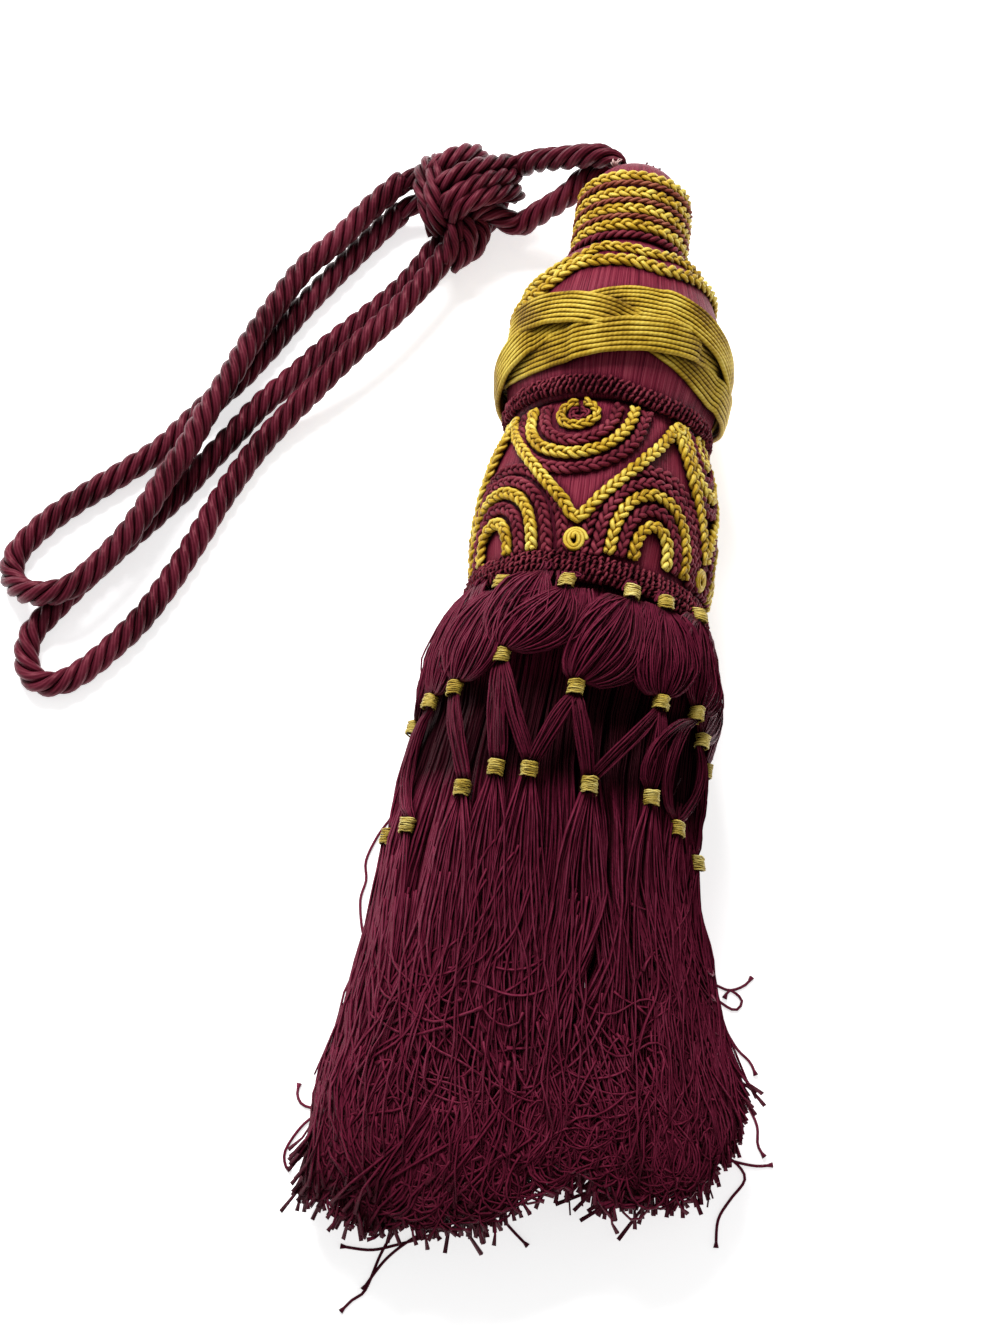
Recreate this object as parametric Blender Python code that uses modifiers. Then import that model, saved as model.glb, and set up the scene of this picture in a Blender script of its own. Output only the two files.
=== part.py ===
"""Curtain tieback tassel, lying on its side with its cord laid out beside it.

Units are metres and +Z is up. The tassel's axis runs along +Y, towards the head, and the
origin is on the surface under the barrel's lower trim, where the tassel rests.
"""

import math

import bmesh
import bpy
from mathutils import Vector

MM = 0.001
GAP = 0.35 * MM
AXIS_HEIGHT = 35.3 * MM
DOWN_AXIS = Vector((0.0, -1.0, 0.0))

# Turned moulds: (station along the axis, radius) in mm, from the head's tip to the barrel's end.
HEAD_PROFILE = [
    (147.6, 0.0), (147.4, 5.5), (146.2, 9.2), (143.6, 12.2), (140.0, 14.2), (135.5, 15.4),
    (131.0, 15.6), (117.5, 15.6),
    (113.5, 17.2), (110.0, 21.2), (104.0, 25.4), (97.0, 28.8), (87.0, 31.6), (76.0, 32.3),
    (66.0, 31.1), (55.0, 28.2), (55.0, 0.0),
]
BARREL_PROFILE = [
    (54.6, 0.0), (54.6, 27.2), (50.0, 28.8), (43.0, 31.0), (34.0, 32.7), (23.0, 33.4),
    (12.0, 33.4), (4.0, 32.6), (-3.2, 31.9), (-3.2, 0.0),
]
MOULD_STEPS = 20

# Cords laid round the neck: name, station, thickness, material.
NECK_RINGS = [
    ("gold_ring_1", 136.4, 3.0, "gold"),
    ("burgundy_ring_1", 133.5, 2.2, "burgundy"),
    ("gold_ring_2", 130.2, 3.0, "gold"),
    ("burgundy_ring_2", 127.3, 2.2, "burgundy"),
    ("gold_ring_3", 124.4, 3.0, "gold"),
    ("burgundy_ring_3", 121.7, 2.2, "burgundy"),
    ("gold_ring_4", 118.8, 3.0, "gold"),
    ("burgundy_ring_4", 115.2, 2.8, "burgundy"),
    ("gold_ring_5", 106.2, 2.8, "gold"),
    ("gold_ring_6", 99.8, 3.2, "gold"),
]
PLAIT_DEPTH = 0.16

# Gold band on the bell: three flat ribbons plaited together, two periods round the bell.
BAND_STATION = 76.9
BAND_SWAY = 6.0
BAND_TILT = 3.4
RIBBON_WIDTH = 11.5
RIBBON_THICKNESS = 1.5
RIBBON_RISE = 0.35
BAND_STEPS = 40
BAND_ROWS = 5

# Looped trims: name, station, width, height above the mould.
BELL_TRIM = ("bell_trim", 57.6, 5.0, 2.6)
BARREL_TRIM = ("barrel_trim", 0.0, 6.4, 3.7)
TRIM_STEPS = 30
LOW_LOOP = 0.88
# The tassel rests on this many degrees of the barrel trim, either side of its lowest line.
RESTING_TURN = 20.0

# Barrel braid. Each row is one repeat: angle and width scale of the medallion, angle of the
# zigzag's valley, angle and width scale of the arch, angle of the zigzag's peak (degrees).
REPEATS = [
    (-14.0, 1.00, -8.0, 26.0, 1.00, 38.0),
    (66.0, 0.64, 62.5, 97.0, 0.95, 97.0),
    (130.0, 0.68, 130.0, 163.0, 0.95, 163.0),
    (197.0, 0.70, 197.0, 231.0, 0.95, 231.0),
    (266.0, 0.74, 267.0, 307.0, 1.12, 300.0),
]
BRAID_WIDTH = 3.0
BRAID_HEIGHT = 2.0
VALLEY_STATION = 15.0
PEAK_STATION = 48.0
DISC_STATION = 8.4
DISC_RADIUS = 3.4
# Arches stand on the trim and medallions hang from the bell: foot station, half width, rise.
OUTER_ARCH = (4.6, 11.2, 19.0)
BURGUNDY_ARCH = (4.6, 7.6, 14.2)
INNER_ARCH = (4.6, 4.0, 9.6)
MEDALLION = (52.0, 16.4, -18.4)
BURGUNDY_MEDALLION = (52.0, 11.2, -13.6)
HORSESHOE = (52.0, 6.2, -9.0)
ARCH_STEPS = 8

# Outer shape of the threads: station, half width, top, sideways offset of the middle.
ENVELOPE = [
    (0.0, 35.5, 71.0, 0.0), (-12.0, 39.0, 73.5, -1.0), (-25.0, 42.5, 75.0, -1.5),
    (-45.0, 43.0, 73.0, -3.0), (-60.0, 43.0, 70.0, -4.0), (-80.0, 46.0, 61.0, -4.0),
    (-110.0, 51.5, 49.0, -1.0), (-140.0, 57.0, 38.0, 1.0), (-180.0, 58.0, 26.0, 1.0),
]
FLOOR_SQUARENESS = 0.66

# Knotted net over the skirt. Ties: angle round the tassel (degrees), station, strands gathered.
TIER_0 = [
    (-84, -9.0, 2), (-61, -9.0, 2), (-39.5, -8.5, 2), (-21.9, -8.5, 2), (-7, -8.5, 2),
    (18.4, -8.5, 2), (35.2, -9.0, 2), (60, -9.0, 2), (86, -9.0, 2), (116, -9.0, 2),
    (148, -9.0, 2), (180, -9.0, 2), (212, -9.0, 2), (244, -9.0, 2),
]
TIER_1 = [
    (-85, -42.0, 2), (-64, -37.0, 2), (-33, -28.5, 3), (1.3, -35.5, 3), (37, -35.5, 3),
    (62, -37.5, 2), (88, -42.0, 3), (122, -38.0, 3), (170, -38.0, 3), (218, -38.0, 2),
    (250, -38.0, 2),
]
TIER_2 = [
    (-72, -73.0, 2), (-41, -66.0, 2), (-27, -59.5, 2), (-12, -58.5, 2), (10, -60.5, 2),
    (36, -60.5, 2), (53, -66.0, 2), (76, -70.0, 2), (105, -68.0, 2), (138, -68.0, 2),
    (170, -68.0, 2), (202, -68.0, 2), (232, -68.0, 2), (262, -70.0, 2),
]
TIE_LENGTH = 4.6
TIE_WIDTH = 4.4
TIE_THICKNESS = 3.6
TIE_RIDGE = 1.18
NET_RING = (-3.9, -6.4, 30.6, 34.2)
NET_LIFT = 2.2
NET_FLOOR = 2.0
# Bundles between ties: share of the way, width, bulge.
PETAL_ROWS = [(0.3, 6.4, 2.6), (0.68, 5.6, 2.2)]
PETAL_THICKNESS = 3.0
LOOSE_LENGTH = 15.0

# Skirt: a backing disc, and rings of locks that run to the cut ends.
SKIRT_DISC = (-3.9, -7.6)
SKIRT_RADII = [5.0, 13.0, 21.0, 29.4]
LOCKS_AROUND = 28
SKIRT_ROWS = [
    (0.97, (-42.0, -84.0, -125.0)),
    (0.62, (-84.0,)),
    (0.28, (-84.0,)),
]
LOCK_FILL = 0.62
LOCK_THICKNESS = 2.6
SKIRT_INSET = 3.6
SKIRT_FLOOR = 6.6
FLOOR_LOCK = 1.5
# Cut line of the skirt: sideways place, station.
CUT_LINE = [
    (-64, -156), (-58, -170), (-45, -177), (-20, -174), (5, -162), (28, -165), (46, -161),
    (60, -142),
]

# Cord: four strands laid left-handed. Routes are in mm, each a bend chosen along the way.
CORD_RADIUS = 4.0
CORD_PITCH = 18.0
CORD_STEP = 3.6
CORD_STRANDS = 4
UPPER_LOOP = [
    (-75.7, 150.8, 13.8), (-78.4, 148, 13.4), (-85, 140.5, 12), (-93.5, 128.5, 11),
    (-103, 116.5, 10.5), (-109.5, 103, 10.5), (-115.5, 88, 11), (-120, 73.5, 12.2), (-124.5, 61, 12.8),
    (-128.5, 48, 12.8), (-133, 37.5, 12.8), (-136.5, 28, 12.8), (-141.5, 16.5, 12.8),
    (-149, 4.5, 12.8), (-155.5, -2.5, 12.8), (-162.5, -5.2, 12.4), (-169.5, -4, 9.5),
    (-175, 1, 5.5), (-176.5, 7.5, 4.1), (-174, 14, 4.1), (-167.5, 23, 4.1), (-158, 32.5, 4.1),
    (-148, 41.5, 4.1), (-138.5, 50.5, 4.1), (-132, 59.5, 4.1), (-126.5, 67.5, 4.1),
    (-119, 77, 4.1), (-111, 90, 4.1), (-103, 105, 4.1), (-93.5, 120, 4.1), (-84, 134, 4.4),
    (-77, 142.8, 5.6), (-75.5, 144.2, 6.2),
]
LOWER_LOOP = [
    (-57.8, 127.5, 13), (-60.5, 121.5, 12.8), (-65.5, 112.5, 12.6), (-73.5, 100.5, 12.6), (-82, 89.5, 12),
    (-91, 78, 9.5), (-99.5, 67.5, 6.5), (-107, 57, 4.4), (-112.5, 46, 4.1), (-117.5, 34, 4.1),
    (-122, 21, 4.1), (-127.5, 7, 4.1), (-134, -6.5, 4.1), (-142, -18, 4.1),
    (-149.5, -26.5, 4.1), (-156, -30.5, 4.1), (-162.5, -29.5, 4.1), (-166, -23.5, 4.1),
    (-166, -15.5, 4.1), (-161.5, -7.5, 4.1), (-153, 5.5, 4.1), (-144.5, 17, 4.1),
    (-136.5, 27.5, 4.1), (-129.5, 37.5, 4.1), (-123.5, 47.5, 4.1), (-117, 58, 4.1),
    (-110, 69.5, 4.1), (-101, 81, 4.1), (-91.5, 93.5, 4.1), (-80.5, 106, 4.1),
    (-72, 116.5, 4.2), (-66.5, 125, 5), (-64.3, 129, 5.8),
]
UPPER_BRIDLE = [
    (-43.8, 156.2, 13.5), (-37.3, 158.2, 19), (-31.9, 156.9, 24.6), (-26.4, 155.2, 29),
    (-21, 154.1, 32.5), (-15.7, 153.3, 35.5), (-10.8, 152.2, 37.4), (-7.4, 150.6, 38.2),
    (-6.2, 148.8, 38.2),
]
LOWER_BRIDLE = [
    (-36.3, 140.5, 11.8), (-33.2, 142, 13.6), (-29, 143.8, 16.6), (-24.8, 145.2, 20),
    (-21.2, 146.9, 23), (-18.3, 149.6, 25.4), (-15.2, 152, 26.8), (-11.6, 152.6, 28),
    (-8.3, 151, 28.8), (-6.6, 148.8, 28.9),
]
# Knot: one wound body. Its direction, in degrees from +X, is the way its turns are strung.
KNOT_CENTRE = (-55.5, 144.5, 13.0)
KNOT_DIRECTION = -36.0
KNOT_HALF_LENGTH = 17.0
KNOT_HALF_WIDTH = 16.5
KNOT_HALF_HEIGHT = 12.8
KNOT_TURNS = 4.0
KNOT_LEAN = 0.9
KNOT_RELIEF = 0.12
KNOT_SEGMENTS = 18
KNOT_RINGS = 22


def clear_scene():
    for obj in list(bpy.data.objects):
        bpy.data.objects.remove(obj, do_unlink=True)


def make_material(name, colour, roughness):
    material = bpy.data.materials.new(name)
    material.use_nodes = True
    shader = material.node_tree.nodes["Principled BSDF"]
    shader.inputs["Base Color"].default_value = (*colour, 1.0)
    shader.inputs["Roughness"].default_value = roughness
    shader.inputs["Sheen Weight"].default_value = 0.4
    material.diffuse_color = (*colour, 1.0)
    return material


def add_node(name, bm, look):
    """Makes the finished mesh one object, with its own copy of its material."""
    bmesh.ops.recalc_face_normals(bm, faces=bm.faces)
    mesh = bpy.data.meshes.new(name)
    bm.to_mesh(mesh)
    bm.free()
    mesh.materials.append(make_material(name, *LOOKS[look]))
    obj = bpy.data.objects.new(name, mesh)
    PARTS.objects.link(obj)
    return obj


def interpolate(rows, value):
    """Linear look-up of each column after the first, in rows sorted by the first one."""
    rows = sorted(rows)
    value = min(max(value, rows[0][0]), rows[-1][0])
    for low, high in zip(rows, rows[1:]):
        if value <= high[0]:
            break
    share = (value - low[0]) / ((high[0] - low[0]) or 1.0)
    return [a + (b - a) * share for a, b in zip(low[1:], high[1:])]


def mould_radius(profile, station):
    return interpolate([row for row in profile if row[1] > 0.0], station)[0]


def on_axis(angle, radius, station):
    """A point in metres, from an angle in degrees off the top and a radius and station in mm."""
    turn = math.radians(angle)
    height = AXIS_HEIGHT + radius * MM * math.cos(turn)
    return Vector((radius * MM * math.sin(turn), station * MM, max(height, 0.0)))


def skin(bm, first, second):
    for index in range(len(first)):
        follow = (index + 1) % len(first)
        bm.faces.new((first[index], first[follow], second[follow], second[index]))


def add_row(bm, points):
    return [bm.verts.new(point) for point in points]


def loft(rows, closed):
    """A solid through rows of points, closed on itself or capped at both ends."""
    bm = bmesh.new()
    made = [add_row(bm, row) for row in rows]
    for first, second in zip(made, made[1:]):
        skin(bm, first, second)
    if closed:
        skin(bm, made[-1], made[0])
    else:
        bm.faces.new(made[0])
        bm.faces.new(reversed(made[-1]))
    return bm


def smooth_path(points, spacing):
    """Even steps along a smooth curve through the points."""
    fine = []
    for index in range(len(points) - 1):
        before = points[max(index - 1, 0)]
        start = points[index]
        end = points[index + 1]
        after = points[min(index + 2, len(points) - 1)]
        for step in range(8):
            share = step / 8
            fine.append(
                0.5 * (2 * start + (end - before) * share
                       + (2 * before - 5 * start + 4 * end - after) * share ** 2
                       + (3 * start - before - 3 * end + after) * share ** 3)
            )
    fine.append(points[-1])
    lengths = [0.0]
    for first, second in zip(fine, fine[1:]):
        lengths.append(lengths[-1] + (second - first).length)
    count = max(2, round(lengths[-1] / spacing))
    path = []
    index = 0
    for step in range(count + 1):
        target = lengths[-1] * step / count
        while index < len(fine) - 2 and lengths[index + 1] < target:
            index += 1
        share = (target - lengths[index]) / (lengths[index + 1] - lengths[index])
        path.append(fine[index].lerp(fine[index + 1], min(share, 1.0)))
    return path


def turned(name, profile, look):
    """A mould turned about the tassel's axis from its profile."""
    mesh = bpy.data.meshes.new(name)
    points = [(radius * MM, 0.0, station * MM) for station, radius in profile]
    mesh.from_pydata(points, [(i, i + 1) for i in range(len(points) - 1)], [])
    mesh.materials.append(make_material(name, *LOOKS[look]))
    obj = bpy.data.objects.new(name, mesh)
    PARTS.objects.link(obj)
    screw = obj.modifiers.new("turn", "SCREW")
    screw.axis = "Z"
    screw.steps = MOULD_STEPS
    screw.render_steps = MOULD_STEPS
    screw.use_merge_vertices = True
    screw.merge_threshold = 0.00005
    screw.use_smooth_shade = False
    obj.rotation_euler = (math.radians(-90.0), 0.0, 0.0)
    obj.location = (0.0, 0.0, AXIS_HEIGHT)
    return obj


def neck_ring(name, station, thickness, look):
    """One cord round the head, plaited or twisted: every other step stands a little lower."""
    radius = mould_radius(HEAD_PROFILE, station)
    ahead = mould_radius(HEAD_PROFILE, station - 0.5)
    slope = math.atan2(ahead - radius, 0.5)
    half = thickness / 2
    lift = half + GAP / MM
    centre_radius = radius + lift * math.cos(slope)
    centre_station = station + lift * math.sin(slope)
    rows = []
    for step in range(MOULD_STEPS):
        angle = 360.0 * step / MOULD_STEPS
        row = []
        for corner in range(4):
            turn = math.radians(45 + 90 * corner) - slope
            low = PLAIT_DEPTH if (step + corner) % 2 and corner in (0, 3) else 0.0
            reach = half * 1.2 * (1.0 - low)
            row.append(on_axis(angle, centre_radius + reach * math.cos(turn),
                               centre_station + reach * math.sin(turn)))
        rows.append(row)
    add_node(name, loft(rows, True), look)


def ribbon_centre(ribbon, angle):
    phase = 2 * math.radians(angle + 5.0)
    sway = BAND_SWAY * math.cos(phase - ribbon * 2 * math.pi / 3)
    return BAND_STATION + BAND_TILT * math.cos(phase) + sway


def ribbon_rise(ribbon, angle):
    phase = 2 * math.radians(angle + 5.0)
    return math.sin(2 * (phase - ribbon * 2 * math.pi / 3))


def bell_band():
    """The plaited band as one body, with its ribbons raised where they pass over each other."""
    rows = []
    for step in range(BAND_STEPS):
        angle = 360.0 * step / BAND_STEPS
        centres = [ribbon_centre(ribbon, angle) for ribbon in range(3)]
        low = min(centres) - RIBBON_WIDTH / 2
        high = max(centres) + RIBBON_WIDTH / 2
        inner = []
        outer = []
        for index in range(BAND_ROWS):
            station = low + (high - low) * index / (BAND_ROWS - 1)
            ground = mould_radius(HEAD_PROFILE, station) + GAP / MM
            over = [
                ribbon_rise(ribbon, angle) for ribbon in range(3)
                if abs(station - centres[ribbon]) <= RIBBON_WIDTH / 2 + 0.01
            ]
            inner.append(on_axis(angle, ground, station))
            rise = RIBBON_THICKNESS + RIBBON_RISE * max(over, default=0.0)
            outer.append(on_axis(angle, ground + rise, station))
        rows.append(inner + outer[::-1])
    add_node("bell_band", loft(rows, True), "gold")


def looped_trim(trim, profile, look):
    """A looped trim round a mould's edge, its loops raised at every other step."""
    name, station, width, height = trim
    rows = []
    for step in range(TRIM_STEPS):
        angle = 360.0 * step / TRIM_STEPS
        raised = step % 2 or abs(angle - 180.0) < RESTING_TURN
        full = height * (1.0 if raised else LOW_LOOP)
        corners = [(-0.5, 0.0), (0.5, 0.0), (0.46, 0.75), (0.2, 1.0), (-0.2, 1.0), (-0.46, 0.75)]
        row = []
        for across, up in corners:
            place = station + across * width
            ground = mould_radius(profile, place) + GAP / MM
            row.append(on_axis(angle, ground + up * full, place))
        rows.append(row)
    add_node(name, loft(rows, True), look)


def braid(name, path, closed, look, width=BRAID_WIDTH):
    """A braid laid on the barrel along (angle, station) places, narrower at its crown."""
    rows = []
    count = len(path)
    for index, (angle, station) in enumerate(path):
        before = path[(index - 1) % count] if closed or index else path[0]
        after = path[(index + 1) % count] if closed or index < count - 1 else path[-1]
        ground = mould_radius(BARREL_PROFILE, station)
        turn = (after[0] - before[0] + 180.0) % 360.0 - 180.0
        along = Vector((math.radians(turn) * ground, after[1] - before[1]))
        across = Vector((along.y, -along.x)).normalized()
        row = []
        for side, up in ((-0.5, 0.0), (0.5, 0.0), (0.3, 1.0), (-0.3, 1.0)):
            shift = across * side * width
            place = station + shift.y
            radius = mould_radius(BARREL_PROFILE, place) + GAP / MM + up * BRAID_HEIGHT
            row.append(on_axis(angle + math.degrees(shift.x / ground), radius, place))
        rows.append(row)
    add_node(name, loft(rows, closed), look)


def arch_path(centre, shape, scale, steps=ARCH_STEPS):
    """Places along an arch that stands on its foot station, or hangs from it if it has no rise."""
    foot, half_width, rise = shape
    path = []
    for step in range(steps + 1):
        turn = math.pi * step / steps
        station = foot + rise * math.sin(turn) ** 0.8
        reach = -half_width * scale * math.cos(turn)
        radius = mould_radius(BARREL_PROFILE, station)
        path.append((centre + math.degrees(reach / radius), station))
    return path


def zigzag_path(steps=7):
    """Valley, peak, valley: the braid that parts the medallions from the arches."""
    path = []
    for index, (_, _, valley, _, _, peak) in enumerate(REPEATS):
        after = REPEATS[(index + 1) % len(REPEATS)][2]
        after += 360.0 if after < peak else 0.0
        for step in range(steps):
            share = step / steps
            path.append((valley + (peak - valley) * share,
                         VALLEY_STATION + (PEAK_STATION - VALLEY_STATION) * share))
        for step in range(steps):
            share = step / steps
            path.append((peak + (after - peak) * share,
                         PEAK_STATION + (VALLEY_STATION - PEAK_STATION) * share))
    return path


def disc(name, angle, look):
    """A small coiled button of braid on the barrel."""
    rows = []
    ground = mould_radius(BARREL_PROFILE, DISC_STATION)
    for reach, up in ((1.0, 0.0), (1.0, 0.6), (0.75, 1.0)):
        row = []
        for step in range(8):
            turn = math.radians(45 * step)
            place = DISC_STATION + DISC_RADIUS * reach * math.sin(turn)
            shift = math.degrees(DISC_RADIUS * reach * math.cos(turn) / ground)
            radius = mould_radius(BARREL_PROFILE, place) + GAP / MM + up * BRAID_HEIGHT
            row.append(on_axis(angle + shift, radius, place))
        rows.append(row)
    add_node(name, loft(rows, False), look)


def barrel_braids():
    braid("gold_zigzag", zigzag_path(), True, "gold")
    for index, (medallion, spread, valley, arch, width, _) in enumerate(REPEATS, 1):
        disc(f"gold_disc_{index}", valley, "gold")
        braid(f"gold_arch_outer_{index}", arch_path(arch, OUTER_ARCH, width), False, "gold")
        braid(f"burgundy_arch_{index}", arch_path(arch, BURGUNDY_ARCH, width), False, "burgundy", 2.6)
        braid(f"gold_arch_inner_{index}", arch_path(arch, INNER_ARCH, width), False, "gold")
        braid(f"gold_medallion_{index}", arch_path(medallion, MEDALLION, spread), False, "gold", 2.6)
        braid(f"burgundy_medallion_{index}", arch_path(medallion, BURGUNDY_MEDALLION, spread), False,
              "burgundy", 2.0)
        braid(f"gold_horseshoe_{index}", arch_path(medallion, HORSESHOE, spread), False, "gold", 2.4)


def thread_shape(station, angle, lift, low, scale=1.0):
    """A place in the threads, as (point in mm, outward direction), and the floor under it."""
    half, top, middle = interpolate(ENVELOPE, station)
    centre = AXIS_HEIGHT / MM if top > 70.0 else AXIS_HEIGHT / MM * top / 70.0
    turn = math.radians(angle)
    side = math.sin(turn)
    rise = math.cos(turn)
    half += lift
    if rise >= 0.0:
        x = half * side
        z = (top + lift - centre) * rise
    else:
        x = half * math.copysign(abs(side) ** FLOOR_SQUARENESS, side)
        z = -(centre - low) * abs(rise) ** FLOOR_SQUARENESS
    point = Vector((middle + x * scale, station, centre + z * scale))
    outward = Vector((side, 0.0, rise)).normalized()
    return point, outward


def cross_section(point, outward, along, width, thickness):
    """Four corners of a strand: outer pair, then inner pair, kept on or above the surface."""
    across = along.cross(outward).normalized()
    outward = across.cross(along).normalized()
    corners = []
    for side, up in ((-0.5, 0.5), (0.5, 0.5), (0.5, -0.5), (-0.5, -0.5)):
        corner = (point + across * side * width + outward * up * thickness) * MM
        corners.append(Vector((corner.x, corner.y, max(corner.z, 0.0))))
    return corners


def tie_rows(bm, angle, station, slots, first_row=None):
    """A ridged tie over its gathered strands. Gives its first and last rows of 2(slots + 1) points."""
    rows = []
    for share, swell in ((0.0, 1.0), (0.5, TIE_RIDGE), (1.0, 1.0)):
        if share == 0.0 and first_row:
            rows.append(first_row)
            continue
        place = station - share * TIE_LENGTH
        point, outward = thread_shape(place, angle, NET_LIFT, NET_FLOOR)
        across = Vector((outward.z, 0.0, -outward.x))
        points = []
        for up in (0.5, -0.5):
            order = range(slots + 1) if up > 0 else range(slots, -1, -1)
            for index in order:
                side = (index / slots - 0.5) * TIE_WIDTH * swell
                corner = (point + across * side + outward * up * TIE_THICKNESS * swell) * MM
                points.append(Vector((corner.x, corner.y, max(corner.z, 0.0))))
        rows.append(add_row(bm, points))
    for first, second in zip(rows, rows[1:]):
        skin(bm, first, second)
    return rows[0], rows[-1]


def slots_of(row, slots):
    """The four corners of each strand root in a tie's row, from left to right."""
    return [
        (row[index], row[index + 1], row[-2 - index], row[-1 - index])
        for index in range(slots)
    ]


def petal(bm, root, tip, start, end):
    """A bundle that bulges between two ties. start and end are (angle, station)."""
    row = list(root)
    for share, width, bulge in PETAL_ROWS:
        angle = start[0] + ((end[0] - start[0] + 180.0) % 360.0 - 180.0) * share
        station = start[1] + (end[1] - start[1]) * share
        point, outward = thread_shape(station, angle, NET_LIFT + bulge, NET_FLOOR)
        corners = cross_section(point, outward, DOWN_AXIS, -width, PETAL_THICKNESS)
        middle = add_row(bm, corners)
        skin(bm, row, middle)
        row = middle
    skin(bm, row, list(tip))


def net_ring(bm):
    """The strip that holds the net, open under each tie. Gives the first row of every tie."""
    top, bottom, inner, outer = NET_RING
    half_turn = math.degrees(TIE_WIDTH / 2 / outer)
    stations = []
    for index, (angle, _, _) in enumerate(TIER_0):
        stations += [angle - half_turn, angle, angle + half_turn]
    loops = []
    for angle in stations:
        loops.append(add_row(bm, [
            on_axis(angle, outer, top), on_axis(angle, outer, bottom),
            on_axis(angle, inner, bottom), on_axis(angle, inner, top),
        ]))
    count = len(loops)
    firsts = []
    for index in range(count):
        here = loops[index]
        after = loops[(index + 1) % count]
        for corner in range(4):
            if corner == 1 and index % 3 != 2:
                continue
            follow = (corner + 1) % 4
            bm.faces.new((here[corner], here[follow], after[follow], after[corner]))
        if index % 3 == 0:
            last = loops[(index + 2) % count]
            firsts.append([here[1], after[1], last[1], last[2], after[2], here[2]])
    return firsts


def match_slots(upper, lower):
    """Pairs each strand that leaves a tier with the nearest place in the next, in order."""
    count = len(upper)

    def miss(shift):
        total = 0.0
        for index in range(count):
            turn = lower[(index + shift) % count][0] - upper[index][0]
            total += abs((turn + 180.0) % 360.0 - 180.0)
        return total

    shift = min(range(count), key=miss)
    return [lower[(index + shift) % count] for index in range(count)]


def overskirt_net():
    """Three tiers of ties with bulging bundles between them, fused to one narrow strip."""
    bm = bmesh.new()
    leaving = []
    for first_row, (angle, station, slots) in zip(net_ring(bm), TIER_0):
        _, last = tie_rows(bm, angle, station + TIE_LENGTH / 2, slots, first_row)
        end = station - TIE_LENGTH / 2
        leaving += [(angle + place - 0.5, end, slot) for place, slot in enumerate(slots_of(last, slots))]
    for tier in (TIER_1, TIER_2):
        arriving = []
        next_leaving = []
        for angle, station, slots in tier:
            first, last = tie_rows(bm, angle, station + TIE_LENGTH / 2, slots)
            above = slots_of(first, slots)
            below = slots_of(last, slots)
            for place in range(slots):
                spread = angle + place - (slots - 1) / 2
                arriving.append((spread, station + TIE_LENGTH / 2, above[place]))
                next_leaving.append((spread, station - TIE_LENGTH / 2, below[place]))
        for start, end in zip(leaving, match_slots(leaving, arriving)):
            petal(bm, start[2], end[2], start[:2], end[:2])
        leaving = next_leaving
    for index, (angle, station, root) in enumerate(leaving):
        drift = 3.0 if index % 2 else -3.0
        length = LOOSE_LENGTH * (1.0 + 0.15 * math.sin(2.3 * index))
        point, outward = thread_shape(station - length, angle + drift, NET_LIFT - 0.6, NET_FLOOR)
        tip = add_row(bm, cross_section(point, outward, DOWN_AXIS, -3.4, 2.0))
        skin(bm, list(root), tip)
        bm.faces.new(tip)
    add_node("overskirt_net", bm, "thread")


def cut_station(x):
    return interpolate(CUT_LINE, x)[0]


def skirt():
    """The skirt's locks, fused at their roots into a disc under the barrel."""
    bm = bmesh.new()
    top, bottom = SKIRT_DISC
    angles = [360.0 * index / LOCKS_AROUND for index in range(LOCKS_AROUND)]
    grid = [add_row(bm, [on_axis(a, radius, bottom) for a in angles]) for radius in SKIRT_RADII]
    lid = add_row(bm, [on_axis(a, SKIRT_RADII[-1], top) for a in angles])
    skin(bm, grid[-1], lid)
    bm.faces.new(lid)
    bm.faces.new(grid[0])
    for ring, (scale, stations) in enumerate(SKIRT_ROWS):
        inner = grid[-2 - ring]
        outer = grid[-1 - ring]
        for index in range(LOCKS_AROUND):
            follow = (index + 1) % LOCKS_AROUND
            row = [outer[index], outer[follow], inner[follow], inner[index]]
            angle = angles[index] + 180.0 / LOCKS_AROUND
            end = cut_station(58.0 * math.sin(math.radians(angle)) * scale)
            end += 2.5 * math.sin(5.1 * index + 2.0 * ring)
            for station in (*stations, end):
                low = SKIRT_FLOOR if station > -100.0 else FLOOR_LOCK
                inset = SKIRT_INSET if station > -100.0 else 1.5
                point, outward = thread_shape(station, angle, -inset, low, scale)
                side, _ = thread_shape(station, angle + 180.0 / LOCKS_AROUND, -inset, low, scale)
                width = 2 * (side - point).length * LOCK_FILL
                point.z = max(point.z, FLOOR_LOCK)
                corners = cross_section(point, outward, DOWN_AXIS, -width, LOCK_THICKNESS)
                tip = add_row(bm, corners)
                skin(bm, row, tip)
                row = tip
            bm.faces.new(row)
    add_node("skirt", bm, "thread")


def cord(name, points):
    """A laid cord: its four strands stand out as ridges that wind left-handed along it."""
    path = smooth_path([Vector(point) for point in points], CORD_STEP)
    normal = Vector((0.0, 0.0, 1.0))
    rows = []
    for index, point in enumerate(path):
        ahead = path[min(index + 1, len(path) - 1)] - path[max(index - 1, 0)]
        along = ahead.normalized()
        normal = (normal - along * normal.dot(along)).normalized()
        side = along.cross(normal)
        turn = -2 * math.pi * index * CORD_STEP / CORD_PITCH
        row = []
        for strand in range(CORD_STRANDS):
            place = turn + 2 * math.pi * strand / CORD_STRANDS
            reach = normal * math.cos(place) + side * math.sin(place)
            corner = (point + reach * CORD_RADIUS) * MM
            row.append(Vector((corner.x, corner.y, max(corner.z, 0.0))))
        rows.append(row)
    add_node(name, loft(rows, False), "cord")


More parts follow.
